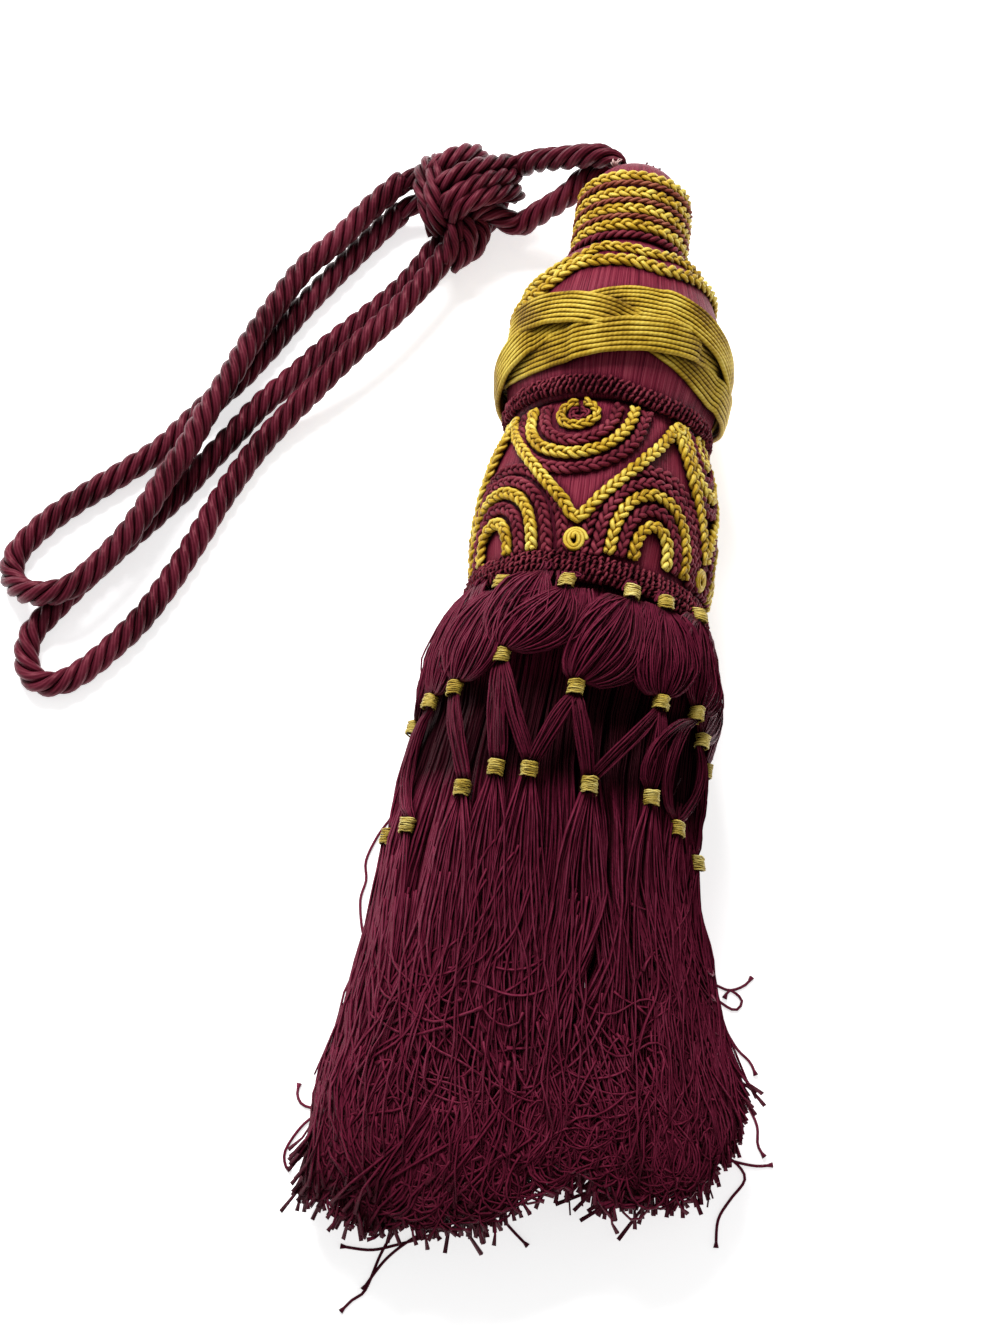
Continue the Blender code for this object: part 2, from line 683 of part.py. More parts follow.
def knot():
    """The knot as one wound body, with a ridge for each visible turn."""
    centre = Vector(KNOT_CENTRE)
    turn = math.radians(KNOT_DIRECTION)
    along = Vector((math.cos(turn), math.sin(turn), 0.0))
    wide = Vector((0.0, 0.0, 1.0)).cross(along).normalized()
    high = along.cross(wide)
    rows = []
    for ring in range(1, KNOT_RINGS):
        share = -math.cos(math.pi * ring / KNOT_RINGS)
        girth = (1.0 - share ** 2) ** 0.36
        row = []
        for step in range(KNOT_SEGMENTS):
            turn = 2 * math.pi * step / KNOT_SEGMENTS
            phase = math.pi * KNOT_TURNS * share + KNOT_LEAN * math.sin(turn)
            reach = girth * (1.0 - KNOT_RELIEF + KNOT_RELIEF * math.cos(phase))
            corner = centre + along * share * KNOT_HALF_LENGTH
            corner += wide * math.cos(turn) * KNOT_HALF_WIDTH * reach
            corner += high * math.sin(turn) * KNOT_HALF_HEIGHT * reach
            corner *= MM
            row.append(Vector((corner.x, corner.y, max(corner.z, 0.0))))
        rows.append(row)
    add_node("knot", loft(rows, False), "cord")


LOOKS = {
    "satin": ((0.19, 0.025, 0.062), 0.45),
    "gold": ((0.58, 0.38, 0.045), 0.4),
    "burgundy": ((0.11, 0.012, 0.033), 0.6),
    "thread": ((0.075, 0.006, 0.019), 0.55),
    "cord": ((0.115, 0.014, 0.034), 0.4),
}

clear_scene()
PARTS = bpy.data.collections.new("curtain_tieback_tassel")
bpy.context.scene.collection.children.link(PARTS)

turned("head_mould", HEAD_PROFILE, "satin")
turned("barrel_mould", BARREL_PROFILE, "satin")
for ring_row in NECK_RINGS:
    neck_ring(*ring_row)
bell_band()
looped_trim(BELL_TRIM, HEAD_PROFILE, "burgundy")
looped_trim(BARREL_TRIM, BARREL_PROFILE, "burgundy")
barrel_braids()
overskirt_net()
skirt()
cord("cord_upper_loop", UPPER_LOOP)
cord("cord_lower_loop", LOWER_LOOP)
cord("cord_upper_bridle", UPPER_BRIDLE)
cord("cord_lower_bridle", LOWER_BRIDLE)
knot()
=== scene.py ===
import math
import random

import bmesh
import bpy
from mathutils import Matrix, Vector, noise


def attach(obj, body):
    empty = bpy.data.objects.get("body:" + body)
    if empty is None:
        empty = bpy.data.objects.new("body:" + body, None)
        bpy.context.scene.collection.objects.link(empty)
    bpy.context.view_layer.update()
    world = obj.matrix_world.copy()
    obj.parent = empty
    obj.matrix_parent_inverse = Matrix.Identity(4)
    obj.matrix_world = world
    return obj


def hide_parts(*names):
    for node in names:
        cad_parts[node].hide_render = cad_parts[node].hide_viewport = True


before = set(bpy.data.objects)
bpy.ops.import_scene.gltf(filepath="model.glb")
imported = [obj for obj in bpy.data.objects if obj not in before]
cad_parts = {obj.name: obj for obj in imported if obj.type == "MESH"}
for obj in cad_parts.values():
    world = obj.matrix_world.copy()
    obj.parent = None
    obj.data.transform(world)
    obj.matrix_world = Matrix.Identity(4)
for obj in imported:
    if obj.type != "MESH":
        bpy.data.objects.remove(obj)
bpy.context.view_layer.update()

mm = 0.001
chance = random.Random(11)
noise.seed_set(11)  # left unset, it would follow the clock
axisHeight = 35.3


def hexColor(text):
    parts = [int(text[place:place + 2], 16) / 255 for place in (1, 3, 5)]
    return [*(c / 12.92 if c <= 0.04045 else ((c + 0.055) / 1.055) ** 2.4 for c in parts), 1.0]


def addNode(tree, kind, settings=None):
    # a setting is the node's own, a socket to link, or a plain value for a socket
    node = tree.nodes.new(kind)
    for key, value in (settings or {}).items():
        if isinstance(key, str) and hasattr(node, key):
            setattr(node, key, value)
        elif isinstance(value, bpy.types.NodeSocket):
            tree.links.new(node.inputs[key], value)
        else:
            node.inputs[key].default_value = value
    return node


def splitUp(tree, place):
    return addNode(tree, "ShaderNodeSeparateXYZ", {0: place}).outputs


def maths(tree, operation, *values):
    return addNode(tree, "ShaderNodeMath", {"operation": operation, **dict(enumerate(values))}).outputs[0]


def scaled(tree, place, scale):
    return addNode(tree, "ShaderNodeMapping", {"Scale": scale, "Vector": place}).outputs[0]


def noiseTone(tree, place, scale, detail=2.0, roughness=0.5):
    settings = {"Vector": place, "Scale": scale, "Detail": detail, "Roughness": roughness}
    return addNode(tree, "ShaderNodeTexNoise", settings).outputs["Fac"]


def newMaterial(name, roughness, sheen=0.0, tint="#FFFFFF", gloss=0.5):
    # dyed rayon throws back light in its own colour, so gloss and sheen take the tint;
    # it gives the material, its tree, its shader and the places that textures read
    material = bpy.data.materials.new(name)
    material.use_nodes = True
    tree = material.node_tree
    shader = tree.nodes["Principled BSDF"]
    settings = {"Roughness": roughness, "Specular IOR Level": gloss, "Specular Tint": hexColor(tint),
                "Sheen Weight": sheen, "Sheen Roughness": 0.4, "Sheen Tint": hexColor(tint)}
    for key, value in settings.items():
        shader.inputs[key].default_value = value
    return material, tree, shader, addNode(tree, "ShaderNodeTexCoord").outputs


def colorRamp(tree, factor, stops):
    ramp = addNode(tree, "ShaderNodeValToRGB", {"Fac": factor})
    while len(ramp.color_ramp.elements) < len(stops):
        ramp.color_ramp.elements.new(0.5)
    for element, (place, color) in zip(ramp.color_ramp.elements, stops):
        element.position = place
        element.color = hexColor(color)
    return ramp.outputs["Color"]


def paintedGapShade(tree, tone, reach):
    # painted shade: the colour is made darker down in the gaps between yarns, up to reach mm deep, where
    # ambient occlusion finds neighbours
    gap = addNode(tree, "ShaderNodeAmbientOcclusion", {"samples": 4, "Distance": reach * mm})
    return maths(tree, "MULTIPLY", tone, gap.outputs["AO"])


def twistRidge(tree, uv, pitch, across=1.0, starts=1):
    # ridges wound round a tube, one turn in pitch mm
    u, v, _ = splitUp(tree, uv)
    phase = maths(tree, "MULTIPLY_ADD", v, across, maths(tree, "DIVIDE", u, pitch))
    return maths(tree, "SINE", maths(tree, "MULTIPLY", phase, 2 * math.pi * starts))


def finishLook(tree, shader, color, height, strength, distance):
    bump = addNode(tree, "ShaderNodeBump", {"Strength": strength, "Distance": distance, "Height": height})
    tree.links.new(shader.inputs["Base Color"], color)
    tree.links.new(shader.inputs["Normal"], bump.outputs["Normal"])


def smoothLine(points, spacing, closed=False):
    # even steps along a smooth curve through given points, in mm
    fine = []
    count = len(points)
    spans = count if closed else count - 1
    for index in range(spans):
        if closed:
            before, start, end, after = (points[(index + k) % count] for k in (-1, 0, 1, 2))
        else:
            before, start = points[max(index - 1, 0)], points[index]
            end, after = points[index + 1], points[min(index + 2, count - 1)]
        for step in range(8):
            t = step / 8
            fine.append(0.5 * (2 * start + (end - before) * t
                               + (2 * before - 5 * start + 4 * end - after) * t ** 2
                               + (3 * start - before - 3 * end + after) * t ** 3))
    fine.append(points[0] if closed else points[-1])
    lengths = [0.0]
    for first, second in zip(fine, fine[1:]):
        lengths.append(lengths[-1] + (second - first).length)
    steps = max(2, round(lengths[-1] / spacing))
    line = []
    index = 0
    for step in range(steps if closed else steps + 1):
        target = lengths[-1] * step / steps
        while index < len(fine) - 2 and lengths[index + 1] < target:
            index += 1
        share = (target - lengths[index]) / max(lengths[index + 1] - lengths[index], 1e-9)
        line.append(fine[index].lerp(fine[index + 1], min(share, 1.0)))
    return line


def lineLength(line):
    return sum((b - a).length for a, b in zip(line, line[1:]))


def addPiece(name, data):
    piece = bpy.data.objects.new(name, data)
    bpy.context.scene.collection.objects.link(piece)
    return piece


def triangleSection(name, radius):
    # three sides are enough for threads this fine
    section = bpy.data.curves.new(name, "CURVE")
    ring = section.splines.new("POLY")
    ring.points.add(2)
    ring.use_cyclic_u = True
    for index, point in enumerate(ring.points):
        turn = -2 * math.pi * index / 3
        point.co = (radius * mm * math.cos(turn), radius * mm * math.sin(turn), 0.0, 1.0)
    return addPiece(name, section)


def tubes(name, lines, radius, sides, closed=False, swell=None):
    # every line becomes a round tube of one mesh; u runs along it in mm, v round it
    curve = bpy.data.curves.new(name, "CURVE")
    curve.dimensions = "3D"
    curve.use_fill_caps = not closed
    section = triangleSection(name + "Section", radius) if sides == 3 else None
    if section:
        curve.bevel_mode = "OBJECT"
        curve.bevel_object = section
    else:
        curve.bevel_depth = radius * mm
        curve.bevel_resolution = sides // 2 - 2
    for line in lines:
        spline = curve.splines.new("POLY")
        spline.points.add(len(line) - 1)
        spline.use_cyclic_u = closed
        flat = []
        for point in line:
            # nothing sinks into the floor
            flat += [point.x * mm, point.y * mm, max(point.z, radius) * mm, 1.0]
        spline.points.foreach_set("co", flat)
        if swell:
            spline.points.foreach_set("radius", [swell(k / (len(line) - 1)) for k in range(len(line))])
    holder = addPiece(name, curve)
    graph = bpy.context.evaluated_depsgraph_get()
    mesh = bpy.data.meshes.new_from_object(holder.evaluated_get(graph))
    mesh.name = name
    bpy.data.objects.remove(holder)
    if section:
        bpy.data.objects.remove(section)
    bm = bmesh.new()
    bm.from_mesh(mesh)
    uv = bm.loops.layers.uv.active
    mean = sum(lineLength(line) for line in lines) / len(lines)
    for face in bm.faces:
        face.smooth = True
        for loop in face.loops:
            loop[uv].uv.x *= mean
    bmesh.ops.remove_doubles(bm, verts=bm.verts, dist=1e-6)
    bm.to_mesh(mesh)
    bm.free()
    return addPiece(name, mesh)


def dress(piece, material, slot, *nodes):
    piece.data.materials.clear()
    piece.data.materials.append(material)
    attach(piece, "root")
    if nodes:
        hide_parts(*nodes)
    return piece


def tangent(line, index, closed):
    if closed:
        return (line[(index + 1) % len(line)] - line[index - 1]).normalized()
    return (line[min(index + 1, len(line) - 1)] - line[max(index - 1, 0)]).normalized()


def outward(point):
    # away from the tassel's axis
    return Vector((point.x, 0.0, point.z - axisHeight)).normalized()


def laidStrands(line, count, reach, pitch, step, closed=False, aroundAxis=False, swell=None):
    # strands that wind left-handed round a line
    strands = [[] for _ in range(count)]
    normal = Vector((0.0, 0.0, 1.0))
    for index, point in enumerate(line):
        along = tangent(line, index, closed)
        if aroundAxis:
            normal = outward(point)
        normal = (normal - along * normal.dot(along)).normalized()
        side = along.cross(normal)
        turn = -2 * math.pi * index * step / pitch
        away = reach * (swell(index / (len(line) - 1)) if swell else 1.0)
        for strand in range(count):
            phase = turn + 2 * math.pi * strand / count
            strands[strand].append(point + (normal * math.cos(phase) + side * math.sin(phase)) * away)
    return strands


plait = {"swing": 0.3, "rise": 0.16, "strand": 0.2, "uneven": 0.09, "grain": 0.35}  # shares of its width


def plaitStrands(line, width, pitch, step, closed=False):
    # flat plait of three strands, lying on the tassel's surface, pulled uneven by hand
    strands = [[], [], []]
    for index, point in enumerate(line):
        along = tangent(line, index, closed)
        out = outward(point)
        out = (out - along * out.dot(along)).normalized()
        side = along.cross(out)
        turn = 2 * math.pi * index * step / pitch
        for strand in range(3):
            phase = turn + 2 * math.pi * strand / 3
            uneven = noise.noise_vector(point * plait["grain"] + Vector((strand * 9.0, 0.0, 0.0)))
            strands[strand].append(point + side * math.sin(phase) * width * plait["swing"]
                                   + out * math.sin(2 * phase) * width * plait["rise"]
                                   + uneven * width * plait["uneven"])
    return strands


def interpolate(rows, value):
    rows = sorted(rows)
    value = min(max(value, rows[0][0]), rows[-1][0])
    for low, high in zip(rows, rows[1:]):
        if value <= high[0]:
            break
    share = (value - low[0]) / ((high[0] - low[0]) or 1.0)
    return [a + (b - a) * share for a, b in zip(low[1:], high[1:])]


def swayAt(x, y, z):
    return noise.noise(Vector((x, y, z)))


def driftAt(x, y, z):
    return noise.noise_vector(Vector((x, y, z)))


def onAxis(angle, radius, station):
    turn = math.radians(angle)
    return Vector((radius * math.sin(turn), station, axisHeight + radius * math.cos(turn)))


camera = {"lens": 54.0, "place": (0.0019, -0.2125, 0.570), "tilt": 20.0, "turn": 7.2}

cameraData = bpy.data.cameras.new("camera")
cameraData.lens = camera["lens"]
cameraData.sensor_width = 36.0
cameraObject = addPiece("camera", cameraData)
cameraObject.location = camera["place"]
cameraObject.rotation_euler = (math.radians(camera["tilt"]), 0.0, math.radians(camera["turn"]))
bpy.context.scene.camera = cameraObject
print("camera set")


def satinCordMaterial():
    # viscose cord, mercerised: fat strands of fine yarns, with a soft satin light along each
    material, tree, shader, where = newMaterial("laidViscoseCord", 0.42, 0.08, "#C07078", 0.42)
    # yarns wind against the lay: nine round a strand, one turn in 40 mm
    ridge = twistRidge(tree, where["UV"], 40.0, starts=9)
    fine = noiseTone(tree, where["Object"], 900.0)
    cloudy = noiseTone(tree, where["Object"], 60.0, 3.0)
    # painted shade: the cord's colour runs near black down in the gaps between its strands
    tone = paintedGapShade(tree, maths(tree, "MULTIPLY_ADD", ridge, 0.12, cloudy), 3.0)
    color = colorRamp(tree, tone, [(0.12, "#100104"), (0.32, "#340812"), (0.5, "#561626"), (0.72, "#6C2A38")])
    finishLook(tree, shader, color, maths(tree, "MULTIPLY_ADD", ridge, 0.3, fine), 0.4, 0.0003)
    return material


cordMaterial = satinCordMaterial()

# four strands laid left-handed; routes in mm
cord = {"diameter": 8.0, "strands": 4, "strandRadius": 1.62, "reach": 2.35, "pitch": 23.0, "step": 1.2,
        "knotSize": 0.84, "sides": 8, "thinStart": 0.62, "thinOver": 0.16}
upperLoop = [
    (-75.7, 150.8, 13.8), (-78.4, 148, 13.4), (-85, 140.5, 12), (-93.5, 128.5, 11),
    (-103, 116.5, 10.5), (-109.5, 103, 10.5), (-115.5, 88, 11), (-120, 73.5, 12.2),
    (-124.5, 61, 12.8), (-128.5, 48, 12.8), (-133, 37.5, 12.8), (-136.5, 28, 12.8),
    (-141.5, 16.5, 12.8), (-149, 4.5, 12.8), (-155.5, -2.5, 12.8), (-162.5, -5.2, 12.4),
    (-169.5, -4, 9.5), (-175, 1, 5.5), (-176.5, 7.5, 4.1), (-174, 14, 4.1),
    (-167.5, 23, 4.1), (-158, 32.5, 4.1), (-148, 41.5, 4.1), (-138.5, 50.5, 4.1),
    (-132, 59.5, 4.1), (-126.5, 67.5, 4.1), (-119, 77, 4.1), (-111, 90, 4.1),
    (-103, 105, 4.1), (-93.5, 120, 4.1), (-84, 134, 4.4), (-77, 142.8, 5.6),
    (-75.5, 144.2, 6.2),
]
lowerLoop = [
    (-57.8, 127.5, 13), (-60.5, 121.5, 12.8), (-65.5, 112.5, 12.6), (-73.5, 100.5, 12.6),
    (-82, 89.5, 12), (-91, 78, 9.5), (-99.5, 67.5, 6.5), (-107, 57, 4.4), (-112.5, 46, 4.1),
    (-117.5, 34, 4.1), (-122, 21, 4.1), (-127.5, 7, 4.1), (-134, -6.5, 4.1),
    (-142, -18, 4.1), (-149.5, -26.5, 4.1), (-156, -30.5, 4.1), (-162.5, -29.5, 4.1),
    (-166, -23.5, 4.1), (-166, -15.5, 4.1), (-161.5, -7.5, 4.1), (-153, 5.5, 4.1),
    (-144.5, 17, 4.1), (-136.5, 27.5, 4.1), (-129.5, 37.5, 4.1), (-123.5, 47.5, 4.1),
    (-117, 58, 4.1), (-110, 69.5, 4.1), (-101, 81, 4.1), (-91.5, 93.5, 4.1),
    (-80.5, 106, 4.1), (-72, 116.5, 4.2), (-66.5, 125, 5), (-64.3, 129, 5.8),
    (-61.5, 132.5, 7), (-58.5, 136.5, 8.5),  # on into the knot
]
upperBridle = [
    (-6.2, 148.8, 38.2), (-7.4, 150.6, 38.2), (-10.8, 152.2, 37.4), (-15.7, 153.3, 35.5),
    (-21, 154.1, 32.5), (-26.4, 155.2, 29), (-31.9, 156.9, 24.6), (-37.3, 158.2, 19),
    (-43.8, 156.2, 13.5),
]
lowerBridle = [
    (-6.6, 148.8, 28.9), (-8.3, 151, 28.8), (-11.6, 152.6, 28), (-15.2, 152, 26.8),
    (-18.3, 149.6, 25.4), (-21.2, 146.9, 23), (-24.8, 145.2, 20), (-29, 143.8, 16.6),
    (-33.2, 142, 13.6), (-36.3, 140.5, 11.8),
    (-40.5, 140.8, 13), (-45, 141.8, 15.5), (-50, 141, 17.5), (-54, 139, 17),  # on into the knot
]
# the knot's turns, pulled tight, so slimmer than the cord: the lay of each, then its points
knotRuns = [
    (34, (-67.1, 159.6, 13), (-68.9, 154.1, 17), (-68.7, 147.4, 19), (-66.7, 141.5, 19),
     (-64.5, 136.6, 17), (-62.1, 133.1, 13)),
    (34, (-62.7, 158.1, 18), (-64.5, 152, 21), (-64.7, 145.6, 22.5), (-63.7, 139.6, 22.5),
     (-61.8, 135, 20), (-59.5, 133.7, 15)),
    (23, (-66.3, 150.9, 20), (-63.3, 153.4, 22), (-59.8, 156.5, 22), (-55.9, 159.8, 20),
     (-52.7, 162.4, 16), (-51.9, 162, 10)),
    (23, (-62.7, 144, 23), (-59.6, 145.7, 25), (-55.9, 148.1, 26), (-51.7, 150.9, 25.5),
     (-47.3, 154.3, 23), (-43.1, 157.8, 19.5), (-38, 158.4, 18.5)),
    (23, (-60.9, 137.9, 21), (-58, 139, 24.5), (-54.4, 141.5, 26), (-50.2, 144.7, 26),
     (-46.1, 148.1, 24), (-42.3, 151.3, 21), (-40, 154.4, 17)),
    (23, (-58.2, 135, 20), (-55.7, 136.5, 23), (-52.1, 138.6, 25), (-48.2, 141.4, 24.5),
     (-44.1, 144.7, 22), (-40.2, 148.2, 18), (-38.5, 150.4, 14)),
    (28, (-57, 137, 18), (-56.1, 132, 18), (-56.3, 129.5, 16), (-57.5, 126, 14), (-59.5, 122.8, 13)),
    (28, (-54.6, 136.8, 18), (-52.6, 133.9, 17), (-51.8, 130.7, 15), (-52.8, 127, 12), (-56.6, 124.6, 9)),
    (28, (-51.6, 139.1, 15), (-48.7, 136.9, 13), (-48.4, 133.7, 11), (-51, 130.9, 8), (-56.2, 128.2, 5.5)),
    (28, (-76.5, 149.5, 13.5), (-70, 153, 15), (-63, 155.5, 15), (-57, 154, 15)),
    (28, (-76.5, 143.5, 7), (-70, 147, 8), (-62, 148, 9), (-52, 148, 9)),
    (24, (-62, 136, 6), (-57, 142, 5), (-52, 149, 5.5), (-49, 157, 8)),
    (24, (-58, 133.5, 5), (-52, 138.5, 4), (-47, 144.5, 5), (-43.5, 152, 9)),
    (24, (-64, 142, 13), (-56, 143, 17), (-48, 148, 16), (-43, 153, 13)),
]


def rope(name, runs, size=1.0, swell=None):
    strands = []
    for pitch, line in runs:
        strands += laidStrands(line, cord["strands"], cord["reach"] * size, pitch, cord["step"], swell=swell)
    return tubes(name, strands, cord["strandRadius"] * size, cord["sides"], swell=swell)


def routeLine(points):
    return smoothLine([Vector(point) for point in points], cord["step"])


def slimStart(share):
    # drawn thin where it goes down into the head
    return cord["thinStart"] + (1.0 - cord["thinStart"]) * min(1.0, share / cord["thinOver"])


turns = [(run[0], routeLine(run[1:])) for run in knotRuns]
knotPiece = dress(rope("cordKnot", turns, cord["knotSize"]), cordMaterial, "satin_cord", "knot")
for name, node, points, carried, swell in (
    ("cordUpperBridle", "cord_upper_bridle", upperBridle, [knotPiece], slimStart),
    ("cordLowerBridle", "cord_lower_bridle", lowerBridle, [], slimStart),
    ("cordUpperLoop", "cord_upper_loop", upperLoop, [], None),
    ("cordLowerLoop", "cord_lower_loop", lowerLoop, [], None),
):
    line = routeLine(points)
    piece = dress(rope(name, [(cord["pitch"], line)], 1.0, swell), cordMaterial, "satin_cord", node)


def bleachedCottonMaterial():
    # undyed cotton from inside the cord, broken open
    material, tree, shader, where = newMaterial("bleachedCottonEnds", 0.8)
    fibres = noiseTone(tree, where["Object"], 1800.0)
    color = colorRamp(tree, fibres, [(0.3, "#C08A8A"), (0.6, "#F0D4CC")])
    tree.links.new(shader.inputs["Base Color"], color)
    return material


# where each tuft starts, its spread, and its ends' number, length and radius
tufts = {"cottonTuft": ((-7.2, 147.8, 39.2), 0.7, 14, 2.6, 0.22),
         "cordTuft": ((2.6, 147.2, 38.5), 0.8, 9, 3.0, 0.32)}


def tuft(name, material):
    # a few short ends left where the cord goes in
    start, spread, count, length, radius = tufts[name]
    lines = []
    for _ in range(count):
        lean = Vector((chance.uniform(-1, 1), chance.uniform(0.3, 1.0), chance.uniform(0.1, 1.0)))
        lean.normalize()
        root = Vector(start) + Vector((chance.uniform(-1, 1), 0.0, chance.uniform(-1, 1))) * spread
        lines.append([root, root + lean * length * 0.5, root + (lean + Vector((0.3, 0.0, -0.2))) * length])
    return dress(tubes(name, lines, radius, 4), material, "satin_cord")


tuft("cottonTuft", bleachedCottonMaterial())
tuft("cordTuft", cordMaterial)
print("cords laid")


headProfile = [
    (147.6, 0), (147.4, 5.5), (146.2, 9.2), (143.6, 12.2), (140, 14.2), (135.5, 15.4),
    (131, 15.6), (117.5, 15.6), (113.5, 17.2), (110, 21.2), (104, 25.4), (97, 28.8),
    (87, 31.6), (76, 32.3), (66, 31.1), (55, 28.2), (55, 0),
]
barrelProfile = [
    (54.6, 0), (54.6, 27.2), (50, 28.8), (43, 31), (34, 32.7), (23, 33.4),
    (12, 33.4), (4, 32.6), (-3.2, 31.9), (-3.2, 0),
]


def mouldRadius(profile, station):
    return interpolate([row for row in profile if row[1] > 0.0], station)[0]


# thread and mould sizes in mm
winding = {"threadWidth": 0.38, "radius": 30.0, "spacing": 1.5, "segments": 96, "deep": "#420C1C",
           "mid": "#762336", "pale": "#8E3E4C"}


def windingMaterial():
    # rayon floss wound side by side over wood: fine ridges down the mould, satin light across them
    material, tree, shader, where = newMaterial("woundRayonFloss", 0.5, 0.02, "#B05068", 0.2)
    centred = addNode(tree, "ShaderNodeMapping",
                      {"Location": (0.0, 0.0, -axisHeight * mm), "Vector": where["Object"]}).outputs[0]
    x, y, z = splitUp(tree, centred)
    turn = maths(tree, "ARCTAN2", x, z)
    bent = maths(tree, "MULTIPLY_ADD", noiseTone(tree, centred, 35.0), 0.03, turn)
    strip = addNode(tree, "ShaderNodeCombineXYZ", {"X": bent, "Y": y})
    stretched = scaled(tree, strip.outputs[0], (winding["radius"] / winding["threadWidth"], 25.0, 1.0))
    threads = noiseTone(tree, stretched, 1.0, 3.0, 0.7)
    # painted shade: the floss is darker down between its threads and beside the braids laid over it
    color = colorRamp(tree, paintedGapShade(tree, threads, 2.6), [
        (0.1, "#1A0208"), (0.33, winding["deep"]), (0.5, winding["mid"]), (0.64, winding["pale"]),
    ])
    finishLook(tree, shader, color, threads, 0.7, 0.0005)
    return material


def turnedMould(name, profile):
    bm = bmesh.new()
    line = smoothLine([Vector((radius, station, 0.0)) for station, radius in profile[1:-1]],
                      winding["spacing"])
    line = [Vector((0.0, profile[0][0], 0.0)), *line, Vector((0.0, profile[-1][0], 0.0))]
    verts = [bm.verts.new((0.0, point.y * mm, (axisHeight + point.x) * mm)) for point in line]
    edges = [bm.edges.new(pair) for pair in zip(verts, verts[1:])]
    bmesh.ops.spin(bm, geom=verts + edges, axis=(0.0, 1.0, 0.0), cent=(0.0, 0.0, axisHeight * mm),
                   angle=2 * math.pi, steps=winding["segments"], use_merge=True)
    bmesh.ops.remove_doubles(bm, verts=bm.verts, dist=1e-5)
    bmesh.ops.recalc_face_normals(bm, faces=bm.faces)
    mesh = bpy.data.meshes.new(name)
    bm.to_mesh(mesh)
    bm.free()
    mesh.shade_smooth()
    return addPiece(name, mesh)


flossMaterial = windingMaterial()
dress(turnedMould("headWinding", headProfile), flossMaterial, "satin_winding", "head_mould")
dress(turnedMould("barrelWinding", barrelProfile), flossMaterial, "satin_winding", "barrel_mould")
print("moulds wound")


def braidMaterial(name, colors, tint, roughness, gloss, filaments):
    # filaments run along each strand, so the light breaks into short streaks: painted highlight and shade in
    # the colour, as well as a bump; the colour is also painted darker in the gaps between strands
    material, tree, shader, where = newMaterial(name, roughness, 0.1, tint, gloss)
    streaks = noiseTone(tree, scaled(tree, where["UV"], (0.35, filaments, 1.0)), 1.0, 3.0, 0.65)
    patches = noiseTone(tree, where["Object"], 130.0)
    tone = paintedGapShade(tree, maths(tree, "MULTIPLY_ADD", streaks, 0.5, patches), 1.6)
    color = colorRamp(tree, tone, list(zip((0.15, 0.42, 0.68, 0.95), colors)))
    finishLook(tree, shader, color, streaks, 0.9, 0.0004)
    return material


goldMaterial = braidMaterial("plaitedGoldRayon", ("#3A2004", "#8E6210", "#CCA628", "#F2E070"), "#F6E690",
                             0.42, 0.48, 7.0)
burgundyMaterial = braidMaterial("plaitedBurgundyCotton", ("#1A0208", "#430E1A", "#6E2230", "#8E3E4A"),
                                 "#C07880", 0.6, 0.3, 6.0)
russetMaterial = braidMaterial("twistedRussetCotton", ("#34120C", "#642A1E", "#904A3A", "#B47458"),
                               "#C09080", 0.6, 0.3, 6.0)

neck = {"plaitPitch": 9.6, "step": 0.7, "cordPitch": 2.6, "tubeSides": 6, "russetLift": 1.9, "lift": 0.33,
        "ply": 0.28, "plyReach": 0.25}
# the two on the shoulder sink to the left, by angle and shift
fifthSag = [(-180, 0), (-100, -9), (-60, -8.5), (-34, -4.5), (-20, 0.5), (0, 0), (15, -1.2), (37, 1.6),
            (90, 2), (180, 0)]
sixthSag = [(-180, 0), (-90, -9.5), (-47, -8.6), (-35, -3), (-28, -0.8), (0, 0), (22, -1.3), (48, 1.4),
            (64, 2.6), (100, 3), (180, 0)]
level = [(-180, 0), (-90, -0.8), (0, 0.3), (90, 0.8), (180, 0)]
# kind, number, station, width and shifts of each
neckRings = [
    ("gold", 1, 136.4, 4.0, level), ("russet", 1, 133.5, 1.8, level), ("gold", 2, 130.2, 4.0, level),
    ("russet", 2, 127.3, 1.8, level), ("gold", 3, 124.5, 4.0, level), ("russet", 3, 121.7, 1.8, level),
    ("gold", 4, 118.9, 4.0, level), ("burgundy", 4, 115.3, 2.6, level), ("gold", 5, 105.9, 3.4, fifthSag),
    ("gold", 6, 99.7, 4.0, sixthSag),
]


def ringLine(profile, station, lift, spacing, shifts):
    # a closed line round the mould, in even steps
    points = []
    for angle in range(-180, 180, 10):
        place = station + interpolate(shifts, angle)[0]
        points.append(onAxis(angle, mouldRadius(profile, place) + lift, place))
    return smoothLine(points, spacing, closed=True)


def wholePitch(line, pitch):
    # the nearest pitch that goes a whole number of times into a closed line
    around = lineLength([*line, line[0]])
    return around / round(around / pitch), around / len(line)


for kind, number, station, width, shifts in neckRings:
    name = f"{kind}Ring{number}"
    lift = neck["russetLift"] if kind == "russet" else width * neck["lift"]
    line = ringLine(headProfile, station, lift, neck["step"], shifts)
    pitch, step = wholePitch(line, neck["plaitPitch"] if kind == "gold" else neck["cordPitch"] * 2)
    if kind == "gold":
        strands = plaitStrands(line, width, pitch, step, closed=True)
        piece = tubes(name, strands, width * plait["strand"], neck["tubeSides"], closed=True)
        dress(piece, goldMaterial, "gold_braid", f"gold_ring_{number}")
    else:
        strands = laidStrands(line, 2, width * neck["plyReach"], pitch, step, closed=True, aroundAxis=True)
        piece = tubes(name, strands, width * neck["ply"], neck["tubeSides"], closed=True)
        look = russetMaterial if kind == "russet" else burgundyMaterial
        dress(piece, look, "burgundy_braid", f"burgundy_ring_{number}")
print("neck ringed")

